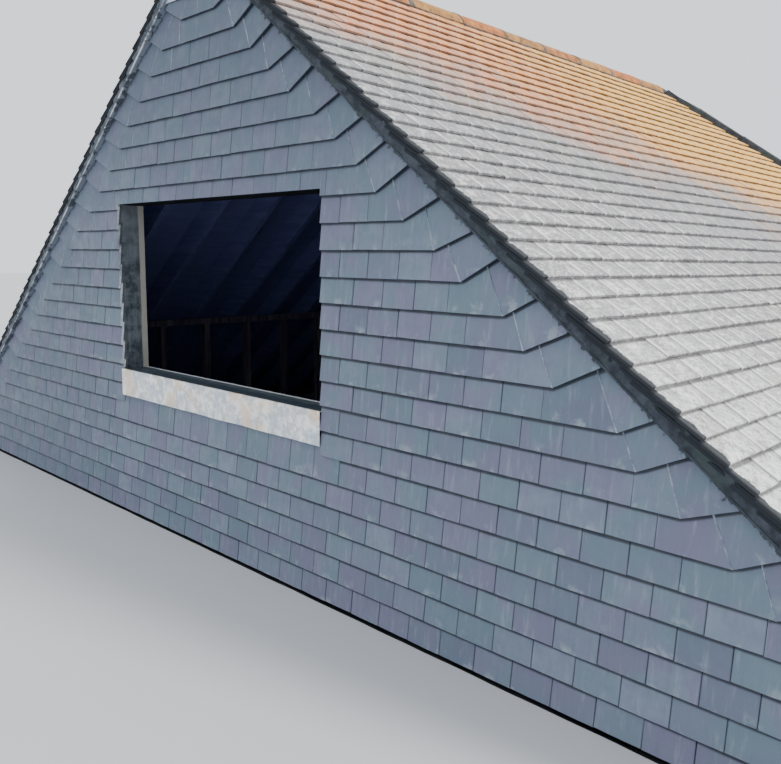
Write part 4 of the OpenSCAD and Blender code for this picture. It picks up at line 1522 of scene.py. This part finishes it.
def buildFootShadeSheet(finish):
    # Black sheet on the floor between the tilting fillet and the face of the tiles: painted shade of
    # the gap at the foot
    low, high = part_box("tilting_fillet")
    front = faceY - footFelt["lip"]
    size = (high[0] - low[0] - 2 * footFelt["inset"], low[1] - footFelt["gap"] - front,
            footFelt["thick"])
    bm = bmesh.new()
    addBar(bm, Vector((low[0] + footFelt["inset"], front, 0.0)), axisX, axisY, axisZ, size,
           footFelt["cuts"])
    for vert in bm.verts:
        if vert.co.y < front + footFelt["edgeDepth"]:
            vert.co.y += footFelt["edgeWave"] * noise.noise(Vector((vert.co.x * 5.0, 0.0, 2.0)))
        if vert.co.z > footFelt["edgeDepth"]:
            vert.co.z += footFelt["topWave"] * noise.noise(vert.co * 40.0)
    finishPiece("footFelt", meshFrom(bm, "footFelt"), [finish], [])


buildLinings()
# Black for the tilting fillet and the foot sheet: painted shade of the gap under the tiles
blackShadeFinish = paintedBoard("blackFilletAndShade", shade(10, 11, 14), shade(20, 21, 25))
buildFootShadeSheet(blackShadeFinish)
studTone = (shade(70, 66, 80), shade(112, 106, 120))
# Rafters and roof boards get blue tones, the rafters lifted to match the boards: painted navy shade
# of the roof space
rafterNavyShadeTone = (shade(92, 100, 156), shade(108, 117, 172))
solidFinishes = [
    (sawnTimber("standingTimber", *studTone, 2),
     ["gable_studs_left", "gable_studs_right", "gable_studs_over", "gable_studs_under",
      "knee_wall_left", "knee_wall_right"]),
    (sawnTimber("crossTimber", *studTone, 0),
     ["base_plates", "window_head_beam", "window_sill_rail"]),
    (sawnTimber("rafterTimberNavyShade", *rafterNavyShadeTone, 0),
     ["rafters_left", "rafters_right", "hip_rafters"]),
    (sawnTimber("longTimberNavyShade", *rafterNavyShadeTone, 1), ["rafters_rear", "ridge_board"]),
    (sawnTimber("roofBoardsNavyShade", shade(102, 111, 166), shade(112, 121, 175), 1),
     ["sarking_left", "sarking_right", "sarking_rear"]),
    (sawnTimber("treatedBatten", shade(92, 76, 52), shade(140, 116, 82), 0),
     ["wall_battens", "roof_battens"]),
    (flakeBoard("wallSheathing", shade(120, 96, 64), shade(184, 152, 106)),
     ["sheathing_left", "sheathing_right", "sheathing_over", "sheathing_under"]),
    # Near black copy of the lining board: painted shade under the head
    (liningBoard("headBoardPaintedShade", shade(6, 7, 12), shade(14, 16, 22), shade(12, 14, 20), 0.0),
     ["head_lining"]),
    (sillTimber(), ["sill_board"]),
    (blackShadeFinish, ["tilting_fillet"]),
    (paintedBoard("fasciaPaint", shade(48, 50, 54), shade(66, 68, 72)), ["fascia_boards"]),
]
for finish, names in solidFinishes:
    for name in names:
        nodes[name].data.materials.clear()
        nodes[name].data.materials.append(finish)
print("solids finished")
